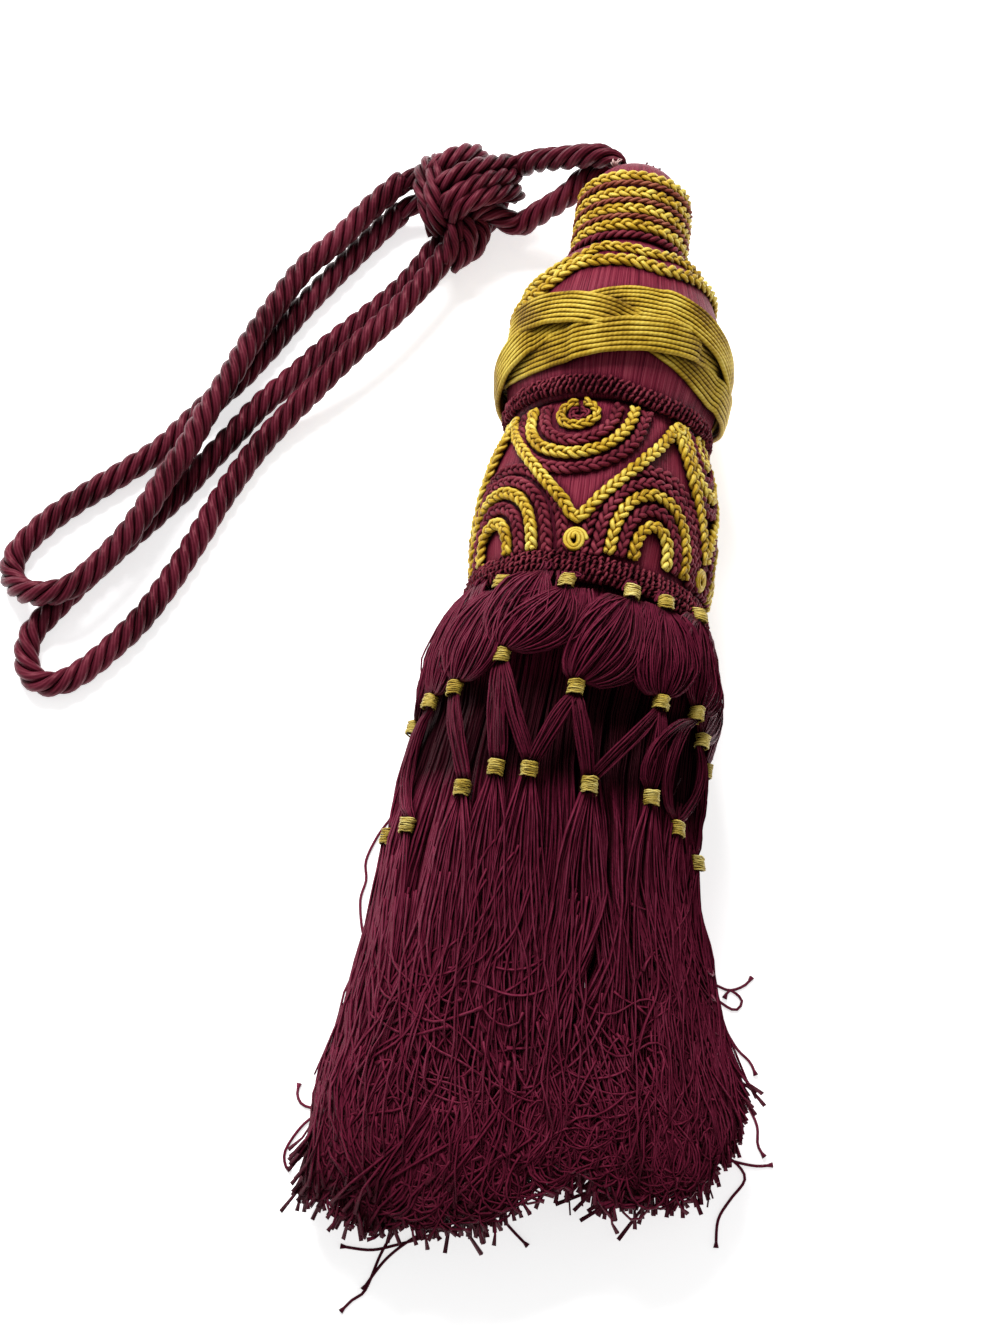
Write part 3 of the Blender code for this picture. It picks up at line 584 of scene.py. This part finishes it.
# each repeat in degrees: the medallion and its scale, the valley, the arch and its scale, the peak
repeats = [
    (-16.5, 1.00, -9, 28, 1.00, 39), (66, 0.64, 65, 97, 0.9, 97),
    (130, 0.68, 130, 163, 0.9, 163), (197, 0.70, 197, 231, 0.9, 231),
    (266, 0.74, 267, 304.5, 1.25, 299),
]
onMedallion, onArch = slice(0, 2), slice(3, 5)
barrel = {"valley": 14.0, "peak": 49.0, "goldWidth": 3.8, "burgundyWidth": 3.8, "pitch": 8.2,
          "step": 0.68, "lift": 1.5, "eye": 48.2, "eyeRadius": 31.0}
buttons = {"station": 7.7, "size": 3.1, "turns": 2.5, "barrelRadius": 33.0, "wire": 0.8}
peakLoops = {"station": 49.6, "across": 1.5, "high": 1.4, "lift": 2.4, "barrelRadius": 30.0}
# foot, half width and rise of each row
shapes = {
    "archOuter": (4.6, 11.8, 20.0), "archMiddle": (4.6, 8.6, 15.6), "archInner": (4.6, 5.2, 10.8),
    "archBorder": (3.6, 15.3, 24.6), "archGround": (3.6, 18.8, 28.6), "medallion": (52.0, 15.0, -17.8),
    "medallionMiddle": (52.0, 10.4, -13.6), "medallionBorder": (52.0, 18.6, -22.6),
}


def barrelPoint(angle, station, lift):
    return onAxis(angle, mouldRadius(barrelProfile, station) + lift, station)


def archLine(centre, scale, shape, lift):
    foot, halfWidth, rise = shapes[shape]
    points = []
    for step in range(13):
        turn = math.pi * step / 12
        station = foot + rise * math.sin(turn) ** 0.8
        radius = mouldRadius(barrelProfile, station)
        swing = math.degrees(halfWidth * scale * math.cos(turn) / radius)
        points.append(barrelPoint(centre - swing, station, lift))
    return smoothLine(points, barrel["step"])


def eyeLine(centre, scale, across, high, lift, gap):
    # nearly closed round, open at the top
    points = []
    for step in range(17):
        turn = math.radians(90.0 + gap + (360.0 - 2 * gap) * step / 16)
        station = barrel["eye"] + high * math.sin(turn)
        swing = math.degrees(across * scale * math.cos(turn) / barrel["eyeRadius"])
        points.append(barrelPoint(centre + swing, station, lift))
    return smoothLine(points, barrel["step"])


def zigzagLine():
    points = []
    for index, row in enumerate(repeats):
        valley, peak = row[2], row[5]
        after = repeats[(index + 1) % len(repeats)][2]
        after += 360.0 if after < peak else 0.0
        for start, end, low, high in ((valley, peak, barrel["valley"], barrel["peak"]),
                                      (peak, after, barrel["peak"], barrel["valley"])):
            for step in range(6):
                t = step / 6
                points.append(barrelPoint(start + (end - start) * t, low + (high - low) * t, barrel["lift"]))
    return smoothLine(points, barrel["step"], closed=True)


def plaits(name, lines, width, material, slot, nodes, closed=False):
    strands = []
    for line in lines:
        strands += plaitStrands(line, width, barrel["pitch"], barrel["step"], closed)
    return dress(tubes(name, strands, width * plait["strand"], 6, closed), material, slot, *nodes)


def numbered(node):
    return [f"{node}_{k}" for k in range(1, 6)]


gold = (goldMaterial, "gold_braid")
burgundy = (burgundyMaterial, "burgundy_braid")
plaits("goldZigzag", [zigzagLine()], barrel["goldWidth"], *gold, ["gold_zigzag"], closed=True)
for name, shape, place, look, lift, node in (
    ("goldArches", "archOuter", onArch, gold, 1.3, "gold_arch_outer"),
    ("goldInnerArches", "archInner", onArch, gold, 1.3, "gold_arch_inner"),
    ("burgundyArches", "archMiddle", onArch, burgundy, 0.9, "burgundy_arch"),
    ("goldMedallions", "medallion", onMedallion, gold, 1.3, "gold_medallion"),
    ("burgundyMedallions", "medallionMiddle", onMedallion, burgundy, 0.9, "burgundy_medallion"),
    ("burgundyArchBorders", "archBorder", onArch, burgundy, 0.9, None),
    ("burgundyArchGrounds", "archGround", onArch, burgundy, 0.3, None),
    ("burgundyMedallionBorders", "medallionBorder", onMedallion, burgundy, 0.9, None),
):
    width = barrel["goldWidth"] if look is gold else barrel["burgundyWidth"]
    lines = [archLine(*row[place], shape, lift) for row in repeats]
    plaits(name, lines, width, *look, numbered(node) if node else [])
# width of each eye's plait, then its half width, half height, lift and half its gap in degrees
for name, width, shape, look, nodes in (
    ("goldHorseshoes", 3.0, (5.4, 4.3, 1.3, 11.0), gold, numbered("gold_horseshoe")),
    ("burgundyEyes", 2.4, (2.4, 1.8, 0.8, 10.0), burgundy, []),
):
    plaits(name, [eyeLine(*row[onMedallion], *shape) for row in repeats], width, *look, nodes)


def buttonLines():
    # a button: gold cord coiled flat, its middle turn pressed to a slit; and the loop on each peak
    lines = []
    for row in repeats:
        points = []
        for step in range(41):
            share = step / 40
            turn = 2 * math.pi * buttons["turns"] * step / 40
            station = buttons["station"] + buttons["size"] * (1.0 - 0.5 * share) * math.sin(turn)
            across = buttons["size"] * (1.0 - 0.8 * share) * math.cos(turn)
            swing = math.degrees(across / buttons["barrelRadius"])
            points.append(barrelPoint(row[2] + swing, station, 0.9 + 0.4 * share))
        loop = []
        for step in range(13):
            turn = 2 * math.pi * step / 12
            swing = math.degrees(peakLoops["across"] * math.cos(turn) / peakLoops["barrelRadius"])
            station = peakLoops["station"] + peakLoops["high"] * math.sin(turn)
            loop.append(barrelPoint(row[5] + 1.5 + swing, station, peakLoops["lift"]))
        lines += [smoothLine(points, barrel["step"]), smoothLine(loop, barrel["step"])]
    return lines


dress(tubes("goldButtons", buttonLines(), buttons["wire"], 6), goldMaterial, "gold_braid",
      *numbered("gold_disc"))
print("barrel braided")


# gold band: seven fine cords led three times round, over and under, four bights to a side
band = {"station": 75.6, "droop": 2.2, "sway": 7.2, "lead": 21.0, "cords": 7, "rounds": 3, "bights": 4,
        "radius": 0.8, "spacing": 1.5, "rise": 1.5, "lift": 1.9, "steps": 540, "waver": 0.3}


def bandCord(across):
    line = []
    for step in range(band["steps"]):
        angle = 360.0 * band["rounds"] * step / band["steps"]
        phase = math.radians(angle - band["lead"]) * band["bights"] / band["rounds"]
        waver = noise.noise(onAxis(angle * 3 / 4, 9.0, across * 9.0)) * band["waver"]
        station = band["station"] + band["droop"] * math.cos(math.radians(2 * (angle - 5.0)))
        station += band["sway"] * math.cos(phase) + across + waver
        over = math.sin(2 * phase)
        rise = band["rise"] * math.copysign(abs(over) ** 0.45, over)
        line.append(onAxis(angle, mouldRadius(headProfile, station) + band["lift"] + rise, station))
    return line


def bandMaterial():
    # fine twisted gold cord: a soft light with a tight twist, one turn in 1.4 mm
    material, tree, shader, where = newMaterial("twistedGoldCord", 0.52, 0.06, "#E8D890", 0.3)
    twist = twistRidge(tree, where["UV"], 1.4, across=2.0)
    patches = noiseTone(tree, where["Object"], 90.0, 4.0)
    # painted shade: darker down in the gaps between cords and where one ribbon crosses over another
    tone = paintedGapShade(tree, maths(tree, "MULTIPLY_ADD", twist, 0.05, patches), 2.6)
    color = colorRamp(tree, tone, [(0.1, "#2A1803"), (0.28, "#745410"), (0.46, "#BC9A2C"), (0.7, "#E4CC5C")])
    finishLook(tree, shader, color, twist, 0.12, 0.0002)
    return material


bandCords = [bandCord((k - (band["cords"] - 1) / 2) * band["spacing"]) for k in range(band["cords"])]
bandPiece = tubes("goldBand", bandCords, band["radius"], 6, closed=True)
dress(bandPiece, bandMaterial(), "gold_cord_band", "bell_band")
print("band plaited")


# each trim's rows: station and lift
trims = {"wire": 0.44, "loop": 0.9, "pitch": 1.7, "step": 0.21, "wander": 0.7,
         "bell": [(59.2, 0.8), (57.6, 1.6), (55.9, 1.5)],
         "barrel": [(2.6, 0.9), (1.2, 1.6), (-0.2, 2.1), (-1.7, 2.2), (-3.1, 1.7)]}


def loopedTrim(name, profile, rows, node, shifts):
    lines = []
    for station, lift in rows:
        line = ringLine(profile, station, lift, trims["step"], shifts)
        pitch, step = wholePitch(line, trims["pitch"])
        coil = laidStrands(line, 1, trims["loop"], pitch, step, closed=True, aroundAxis=True)[0]
        lines.append([point + noise.noise_vector(point * 0.9) * trims["wander"] for point in coil])
    return dress(tubes(name, lines, trims["wire"], 4, closed=True), burgundyMaterial, "burgundy_braid", node)


bellSag = [(-180, 0), (-90, 0.3), (-19, 0.6), (0, 0), (13, -1.2), (30, -1.8), (90, -1), (180, 0)]
barrelSag = [(-180, 0), (-90, 0.8), (-24, 1.0), (14, -0.6), (47, -1.6), (90, -1.4), (180, 0)]
loopedTrim("bellTrim", headProfile, trims["bell"], "bell_trim", bellSag)
loopedTrim("barrelTrim", barrelProfile, trims["barrel"], "barrel_trim", barrelSag)
print("trims looped")


# half width, top and middle of the threads' mass at each station
envelope = [
    (0, 34.5, 71, 0), (-12, 37, 73.5, -1), (-25, 39.5, 75, -1.5),
    (-45, 40, 73, -3), (-60, 40, 70, -4), (-80, 43, 61, -4),
    (-110, 49.5, 49, -1), (-140, 56.5, 38, 1), (-180, 58, 26, 1),
]
# where the threads are cut, by distance across
cutLine = [
    (-64, -152), (-58, -166), (-45, -174), (-20, -173), (-4, -171), (6, -160), (17, -157),
    (24, -162), (34, -162), (46, -155), (54, -143), (60, -130),
]


full, squareness = 70.0, 0.66  # the height of an unsunk skirt, and how flat its underside lies


def threadShape(station, angle, lift, low, scale=1.0):
    # the point at this station and angle, lift mm off the skirt's face, and which way is out
    half, top, middle = interpolate(envelope, station)
    centre = axisHeight if top > full else axisHeight * top / full
    turn = math.radians(angle)
    side, rise = math.sin(turn), math.cos(turn)
    half += lift
    if rise >= 0.0:
        x, z = half * side, (top + lift - centre) * rise
    else:
        x = half * math.copysign(abs(side) ** squareness, side)
        z = -(centre - low) * abs(rise) ** squareness
    return Vector((middle + x * scale, station, centre + z * scale)), Vector((side, 0.0, rise))


def threadMaterial(name, under):
    # three-ply rayon thread, with painted shade: dark in the depth, plum where it lies in the light
    material, tree, shader, where = newMaterial(name, 0.5, 0.06, "#B06068", 0.3)
    each = noiseTone(tree, scaled(tree, where["Object"], (900.0, 45.0, 900.0)), 1.0, 1.0)
    clouds = noiseTone(tree, where["Object"], 30.0)
    # painted shade: darker down in the gaps between threads
    tone = paintedGapShade(tree, maths(tree, "MULTIPLY_ADD", clouds, 0.5, each), 3.6)
    # painted shade: darker under the net, 27 to 68 mm down, where the net shades the skirt, and again towards
    # the cut ends, where the skirt turns away from the lamp
    _, y, _ = splitUp(tree, where["Object"])
    down = addNode(tree, "ShaderNodeMapRange", {"From Min": -0.18, "From Max": 0.0, "Value": y})
    light = colorRamp(tree, down.outputs[0], [
        (0.04, "#A8A8A8"), (0.24, "#FFFFFF"), (0.62, "#FFFFFF"), (0.68, under), (0.8, under),
        (0.85, "#E4E4E4"),
    ])
    color = colorRamp(tree, maths(tree, "MULTIPLY", tone, light), [
        (0.02, "#0E0206"), (0.1, "#300914"), (0.3, "#501226"), (0.56, "#691B33"), (0.86, "#7C3047"),
    ])
    # the ply shows as a fine diagonal rib, one in 1.5 mm
    ply = twistRidge(tree, where["UV"], 1.5)
    finishLook(tree, shader, color, ply, 0.12, 0.0002)
    return material


# one thread in two copies that differ only in painted shade under the net: mild for the net's own threads and
# the strays, deep for the skirt below
threadMildPaintedShade = threadMaterial("rayonThreadMildPaintedShade", "#BCBCBC")
threadDeepPaintedShade = threadMaterial("rayonThreadDeepPaintedShade", "#5C5C5C")
skirt = {"upper": 1540, "lower": 880, "radius": 0.42, "top": -4.0, "floor": 1.5, "straight": -56.0,
         "locks": 26, "gather": 0.35, "sweep": 34.0, "mat": 3.0, "drift": 2.2, "wander": 1.8, "hook": 5.0,
         "sunk": 5.5, "sunkAt": -43.0, "sunkOver": 17.0, "loose": -50.0, "hooked": 0.78,
         "upperSteps": 17, "lowerSteps": 8}


def hungThread(angle, scale, seed, steps):
    # straight from the barrel, sunk under the net, then swept along with its lock to the cut end
    lock = 360.0 / skirt["locks"]
    centre = round(angle / lock) * lock
    end = interpolate(cutLine, 58.0 * math.sin(math.radians(angle)) * scale)[0] + chance.gauss(1.0, 3.0)
    hook = skirt["hook"] * (swayAt(angle * 0.4, 0.0, 12.0) * 2.0 + chance.gauss(0.0, 0.5))
    stations = [skirt["top"], -10.0, -22.0, -40.0]
    stations += [skirt["straight"] + (end - skirt["straight"]) * step / steps for step in range(steps + 1)]
    line = []
    for station in stations:
        t = (station - skirt["top"]) / (end - skirt["top"])
        loose = max(0.0, (station - skirt["loose"]) / (end - skirt["loose"]))
        gathered = angle + (centre - angle) * skirt["gather"] * math.sin(math.pi * t)
        gathered += swayAt(angle * 0.05, station * 0.02, 3.0) * skirt["sweep"] * t ** 1.6
        mat = swayAt(angle * 0.11, station * 0.035, 6.0) * skirt["mat"] * t
        inset = 0.6 + 1.6 * math.exp(station / 25.0)
        dip = math.exp(-((station - skirt["sunkAt"]) / skirt["sunkOver"]) ** 2)
        inset += skirt["sunk"] * dip * max(math.cos(math.radians(angle)), 0.0)
        point, _ = threadShape(station, gathered, mat - inset, skirt["floor"], scale)
        if station > -12.0:
            # from the disc under the barrel
            root = onAxis(angle, 30.0 * (0.6 + 0.4 * scale), station)
            point = root.lerp(point, (skirt["top"] - station) / 16.0)
        drift = driftAt(seed * 3.7, station * 0.028, 0.0)
        wave = driftAt(seed * 5.1, station * 0.07, 9.0)
        point += drift * (0.7 + skirt["drift"] * t) + wave * (0.4 + skirt["wander"] * loose)
        turned = max(0.0, (loose - skirt["hooked"]) / (1.0 - skirt["hooked"])) ** 2
        line.append(point + Vector((hook * turned, skirt["hook"] * abs(seed % 1.0) * turned, 0.0)))
    return line


def frayed(share):
    # a cut end opens a little
    return 1.8 if share > 0.985 else 1.0


def hungThreads(name, count, low, high, scales, steps):
    lines = []
    for index in range(count):
        lines.append(hungThread(chance.uniform(low, high), chance.choice(scales), index * 1.37 + low, steps))
    return tubes(name, lines, skirt["radius"], 3, swell=frayed)


# how far out each thread may lie, as shares of the skirt's section
outer = (1.02, 1.01, 1.0, 0.98, 0.96, 0.93, 0.89, 0.8)
inner = (1.0, 0.9, 0.7, 0.45, 0.2)
upperThreads = hungThreads("skirtUpper", skirt["upper"], -100.0, 100.0, outer, skirt["upperSteps"])
dress(upperThreads, threadDeepPaintedShade, "rayon_thread", "skirt")
lowerThreads = hungThreads("skirtLower", skirt["lower"], 90.0, 270.0, inner, skirt["lowerSteps"])
dress(lowerThreads, threadDeepPaintedShade, "rayon_thread")

# locks that have worked loose and wander over the rest, and short ones curled at the cut
curls = {"step": 2.8, "bend": 0.8, "pull": 0.12, "curl": 0.45, "hookOver": 16.0}
# number of locks, threads in each, how far above the cut they start, and their lengths
longCurls = {"locks": 26, "threads": 10, "above": (45.0, 95.0), "length": (45.0, 90.0)}
shortCurls = {"locks": 220, "threads": 4, "above": (8.0, 44.0), "length": (24.0, 48.0)}


def curledThread(angle, station, length, seed, lean, lift):
    # the heading turns slowly, pulled back down the skirt, and hooks round as it nears the cut
    line = []
    heading = lean
    hook = chance.uniform(0.25, 0.75) * (1.0 if swayAt(seed * 1.9, 0.0, 2.0) > 0.0 else -1.0)
    steps = round(length / curls["step"])
    for step in range(steps + 1):
        share = step / steps
        lump = 0.8 * swayAt(seed * 3.1, step * 0.13, 5.0)
        line.append(threadShape(station, angle, lift + lump, skirt["floor"])[0])
        half, _, middle = interpolate(envelope, station)
        cut = interpolate(cutLine, middle + half * math.sin(math.radians(angle)))[0]
        heading += swayAt(seed * 7.3, step * 0.17, 0.0) * curls["bend"] * (0.35 + share)
        heading -= heading * curls["pull"] * (1.0 - share)
        heading += hook * (curls["curl"] * share ** 2 + max(0.0, 1.0 - (station - cut) / curls["hookOver"]))
        if station < cut - chance.uniform(0.0, 5.0) and step > 3:
            break
        station -= curls["step"] * math.cos(heading)
        angle += math.degrees(curls["step"] * math.sin(heading) / half)
    return line


def curledLocks(kind):
    # the threads of a lock keep side by side
    lines = []
    for lock in range(kind["locks"]):
        angle = chance.uniform(-100.0, 100.0)
        cut = interpolate(cutLine, 57.0 * math.sin(math.radians(angle)))[0]
        station = cut + chance.uniform(*kind["above"])
        length = chance.uniform(*kind["length"])
        seed = lock * 1.37 + kind["above"][0]
        lean = chance.uniform(-0.7, 0.7)
        for thread in range(kind["threads"]):
            lines.append(curledThread(angle + chance.gauss(0.0, 3.2), station + chance.gauss(0.0, 4.0),
                                      length * chance.uniform(0.75, 1.1), seed + 0.012 * thread,
                                      lean + chance.gauss(0.0, 0.12), chance.uniform(0.2, 1.5)))
    return lines


curlLines = curledLocks(longCurls) + curledLocks(shortCurls)
dress(tubes("skirtCurls", curlLines, skirt["radius"], 3, swell=frayed), threadDeepPaintedShade, "rayon_thread")
print("skirt hung")

net = {"lift": 2.2, "floor": 2.0, "radius": 0.32, "pressed": 0.6, "spread": 1.4, "waver": 1.1}
# bundles: petals above, legs below them, short ones under the trim, and the part inside each tie
petals = {"threads": 58, "points": 11, "halfWidth": 8.8, "bulge": 3.6, "hang": 7.0, "fan": 5.5}
legs = {"threads": 30, "points": 10, "halfWidth": 0.7, "bulge": 1.2, "hang": 0.0, "fan": 0.0}
heads = {"threads": 8, "points": 4, "halfWidth": 1.5, "bulge": -1.5, "hang": 3.0, "fan": 0.0}
cores = {"threads": 8, "points": 3, "halfWidth": -0.4, "bulge": 0.0, "hang": 0.0, "fan": 0.0}
looseEnds = {"threads": 18, "points": 13, "length": 88.0, "spread": 15.0, "drift": 4.0, "wave": 2.4}
ties = {"length": 3.5, "width": 4.1, "depth": 3.8, "lift": 0.5, "radius": 0.28, "turns": 13, "crumple": 0.45}
# angle, station, bundles tied together, and how far each bundle below swings aside
tierTop = [
    (-84, -2.6, 2), (-61, -2.2, 2), (-38, -6.4, 2), (-20.5, -1.6, 1), (-8, -7.2, 2),
    (19, -7.6, 2), (35.2, -7.2, 2), (60, -4.4, 2), (86, -3.4, 2), (116, -9, 2),
    (148, -9, 2), (180, -9, 2), (212, -9, 2), (244, -9, 2),
]
tierMiddle = [
    (-85, -42, 2, -4), (-63, -38.8, 2, -7), (-46.7, -37, 2, 0), (-26.9, -29.5, 3, 0),
    (3.1, -37.5, 2, 0), (37, -36, 2, 0), (58.6, -34, 2, -8), (68, -39.5, 2, 7),
    (92, -42, 2, 3), (122, -38, 2, 0), (170, -38, 2, 0), (218, -38, 2, 0),
    (250, -38, 2, 0),
]
tierLow = [
    (-80, -74, 2), (-58, -73, 2), (-32.2, -65, 2), (-20, -60, 2), (-7.8, -60, 2),
    (14, -62, 2), (40, -61, 2), (55.8, -66, 2), (78, -71, 2), (105, -68, 2),
    (138, -68, 2), (180, -68, 2), (225, -68, 2), (262, -70, 1),
]


def slotPlaces(tier):
    # each bundle's own angle, station and swing
    places = []
    for angle, station, slots, *swing in tier:
        places += [(angle + k - (slots - 1) / 2, station, *swing) for k in range(slots)]
    return places


def pressed(angle):
    # the net lies flatter at the sides
    return 1.0 - net["pressed"] * abs(math.sin(math.radians(angle)))


def netLift(angle, station):
    # tucked under the trim at the top
    return net["lift"] * pressed(angle) * min(1.0, max(0.0, -2.0 - station) / 3.0)


def bundle(start, end, kind, swing=0.0):
    # threads that bulge apart between two ties, the side that lies lower hanging in a swag;
    # the under layer fans out at the top
    lines = []
    turn = (end[0] - start[0] + 180.0) % 360.0 - 180.0
    lower = -math.copysign(1.0, turn)
    depth = chance.uniform(-0.6, 0.6)
    halfWidth = kind["halfWidth"] * chance.uniform(0.85, 1.2)
    flat = pressed(start[0])
    for index in range(kind["threads"]):
        u = 2 * (index + chance.uniform(0.0, 1.0)) / kind["threads"] - 1
        layer = chance.uniform(-1.0, 1.0)
        bulge = kind["bulge"] * flat * (1.0 - 0.7 * u * u) * chance.uniform(0.3, 1.1) ** 0.6
        fan = kind["fan"] if layer < 0.0 else 0.0
        line = []
        for step in range(kind["points"]):
            t = step / (kind["points"] - 1)
            swell = math.sin(math.pi * t) ** 0.65
            station = start[1] + (end[1] - start[1]) * t - kind["hang"] * swell * (0.5 + 0.5 * u * lower)
            lift = netLift(start[0], station) + bulge * swell + (depth + layer) * swell * flat + layer * 0.5
            point, out = threadShape(station, start[0] + turn * t, lift, net["floor"])
            across = Vector((out.z, 0.0, -out.x))
            stray = driftAt(start[0] + index * 1.7, station * 0.09, 2.0)
            spread = net["spread"] + halfWidth * swell + fan * (1.0 - t) ** 2
            line.append(point + across * (u * spread + swing * swell) + stray * net["waver"] * swell)
        lines.append(line)
    return lines


def looseEnd(angle, start):
    # the tail below the lowest tie, opening out over the skirt
    lines = []
    half, _, middle = interpolate(envelope, start - looseEnds["length"])
    cut = interpolate(cutLine, middle + half * math.sin(math.radians(angle)))[0] + 4.0
    for index in range(looseEnds["threads"]):
        u = chance.uniform(-1.0, 1.0)
        reach = min(looseEnds["length"] * chance.uniform(0.7, 1.15), start - cut)
        layer = chance.uniform(-1.2, 1.2)
        seed = index * 2.3 + angle
        line = []
        for step in range(looseEnds["points"]):
            t = (step / (looseEnds["points"] - 1)) ** 0.85
            station = start - reach * t
            lift = (netLift(angle, station) + layer) * (1.0 - t) ** 3 + (0.4 + layer * 0.4) * t
            swung = angle + u * (2.0 + looseEnds["spread"] * t ** 0.6)
            point, _ = threadShape(station, swung, lift, net["floor"])
            drift = driftAt(seed, station * 0.03, 4.0)
            wave = driftAt(seed, station * 0.07, 8.0)
            line.append(point + drift * looseEnds["drift"] * t + wave * (0.5 + looseEnds["wave"] * t ** 1.5))
        lines.append(line)
    return lines


halfTie = ties["length"] / 2
netLines = []
for above, below, kind in ((tierTop, tierMiddle, petals), (tierMiddle, tierLow, legs)):
    for first, second in zip(slotPlaces(above), slotPlaces(below)):
        netLines += bundle((first[0], first[1] - halfTie), (second[0], second[1] + halfTie), kind, *first[2:])
for angle, station, _ in tierTop:
    netLines += bundle((angle, -3.4), (angle, station + halfTie), heads)
for angle, station in slotPlaces(tierLow):
    netLines += looseEnd(angle, station - halfTie)
tied = [(angle, station) for tier in (tierTop, tierMiddle, tierLow) for angle, station, *_ in tier]
for angle, station in tied:
    netLines += bundle((angle, station + halfTie), (angle, station - halfTie), cores)
dress(tubes("overskirtThreads", netLines, net["radius"], 3), threadMildPaintedShade, "rayon_thread", "overskirt_net")


def tieLine(angle, station):
    # fine gold thread, wound round and round and crumpled
    line = []
    steps = ties["turns"] * 9
    for step in range(steps + 1):
        turn = 2 * math.pi * step / 9
        along = station + ties["length"] * (0.5 - step / steps) + 0.2 * math.sin(turn * 0.5 + angle)
        point, out = threadShape(along, angle, netLift(angle, along) + ties["lift"], net["floor"])
        across = Vector((out.z, 0.0, -out.x))
        point += across * math.cos(turn) * ties["width"] / 2 + out * math.sin(turn) * ties["depth"] / 2
        line.append(point + noise.noise_vector(point * 1.1) * ties["crumple"])
    return line


tieMaterial = braidMaterial("crumpledGoldThread", ("#4A3208", "#96741E", "#CBB048", "#EADC90"), "#F4E8B0",
                            0.45, 0.45, 4.0)
# a tie less than 4 mm below the barrel is out of sight under the trim
tieLines = [tieLine(angle, station) for angle, station in tied if station < -3.8]
dress(tubes("goldTies", tieLines, ties["radius"], 4), tieMaterial, "gold_braid")

# threads that have strayed on to the floor, x and y in mm
strays = [
    [(49.5, -95.5), (53.6, -96.5), (57.7, -94.5), (59.5, -91.9)],
    [(47, -97), (50.4, -99.8), (55.5, -102), (57.2, -98.9), (53.6, -96.5), (52.2, -99)],
    [(54, -109), (57.3, -113.2), (60.9, -116.1), (62.9, -119.6)],
    [(56, -121), (60.4, -126.9), (64.3, -133.3), (65, -138.7), (67.2, -141.8)],
    [(52, -142), (57.6, -143.8), (64.7, -144.5), (69.6, -143.6)],
    [(55, -142), (60, -144.9), (62.2, -148.7), (58.6, -154.5), (55.8, -160.3), (55.9, -167.7)],
    [(-50, -58), (-53, -63.8), (-55.4, -71.7), (-54.5, -77.6), (-55.3, -83.7), (-53.4, -92.4),
     (-51.1, -96.5)],
    [(-52, -143), (-58.1, -144.1), (-62.4, -143.8), (-64.5, -141.3), (-64.5, -137.9)],
    [(-54, -142), (-58.7, -146.1), (-62.3, -150.1), (-65.4, -156.6), (-64.8, -160.6), (-63.2, -161.8)],
    [(-28, -168), (-32.6, -175.4), (-35.1, -181.1), (-37.8, -190.6), (-41, -193.7), (-43.7, -197.1)],
    [(-18, -168), (-22.5, -172.8), (-27.5, -176.1), (-33.6, -182.2), (-38.6, -190.7)],
    [(-24, -175), (-31.4, -178), (-38, -180.1), (-46.3, -180.1)],
    [(-8, -162), (-3.9, -166.5), (-0.1, -170), (4.7, -173.7)],
    [(-26, -168), (-22.6, -171.5), (-19.4, -175.1)],
]


def strayLine(points):
    # down from inside the skirt, then along the floor
    line = [Vector((x, y, 0.6)) for x, y in points]
    root = line[0] + (line[0] - line[1]).normalized() * 7.0
    root.z = 12.0
    return smoothLine([root, *line], 1.5)


def strayEnd(share):
    return 1.9 if share > 0.98 else 1.0


strayLines = [strayLine(points) for points in strays]
dress(tubes("strayThreads", strayLines, skirt["radius"], 6, swell=strayEnd), threadMildPaintedShade, "rayon_thread")
print("net tied")


# place, target, size and power of each lamp
studio = {"floor": "#F8F8F8", "glow": 0.72, "world": 0.33,
          "key": ((-0.35, 0.75, 0.9), (0.0, 0.0, 0.0), 0.5, 19.0),
          "fill": ((0.5, -0.6, 0.9), (0.0, -0.05, 0.0), 0.8, 0.4)}

floorMesh = bpy.data.meshes.new("floor")
bm = bmesh.new()
bmesh.ops.create_grid(bm, x_segments=1, y_segments=1, size=2.5)
bm.to_mesh(floorMesh)
bm.free()
floor = addPiece("floor", floorMesh)
floorMaterial, _, floorShader, _ = newMaterial("paperFloor", 0.9)
for key in ("Base Color", "Emission Color"):
    floorShader.inputs[key].default_value = hexColor(studio["floor"])
floorShader.inputs["Emission Strength"].default_value = studio["glow"]
floor.data.materials.append(floorMaterial)

world = bpy.context.scene.world or bpy.data.worlds.new("world")
bpy.context.scene.world = world
world.use_nodes = True
background = world.node_tree.nodes["Background"]
background.inputs["Color"].default_value = (1.0, 1.0, 1.0, 1.0)
background.inputs["Strength"].default_value = studio["world"]

for name in ("key", "fill"):
    place, target, size, power = studio[name]
    lampData = bpy.data.lights.new(name, "AREA")
    lampData.size = size
    lampData.energy = power
    lamp = addPiece(name, lampData)
    lamp.location = place
    lamp.rotation_euler = (Vector(target) - Vector(place)).to_track_quat("-Z", "Y").to_euler()
bpy.context.scene.view_settings.view_transform = "Standard"
print("studio lit")
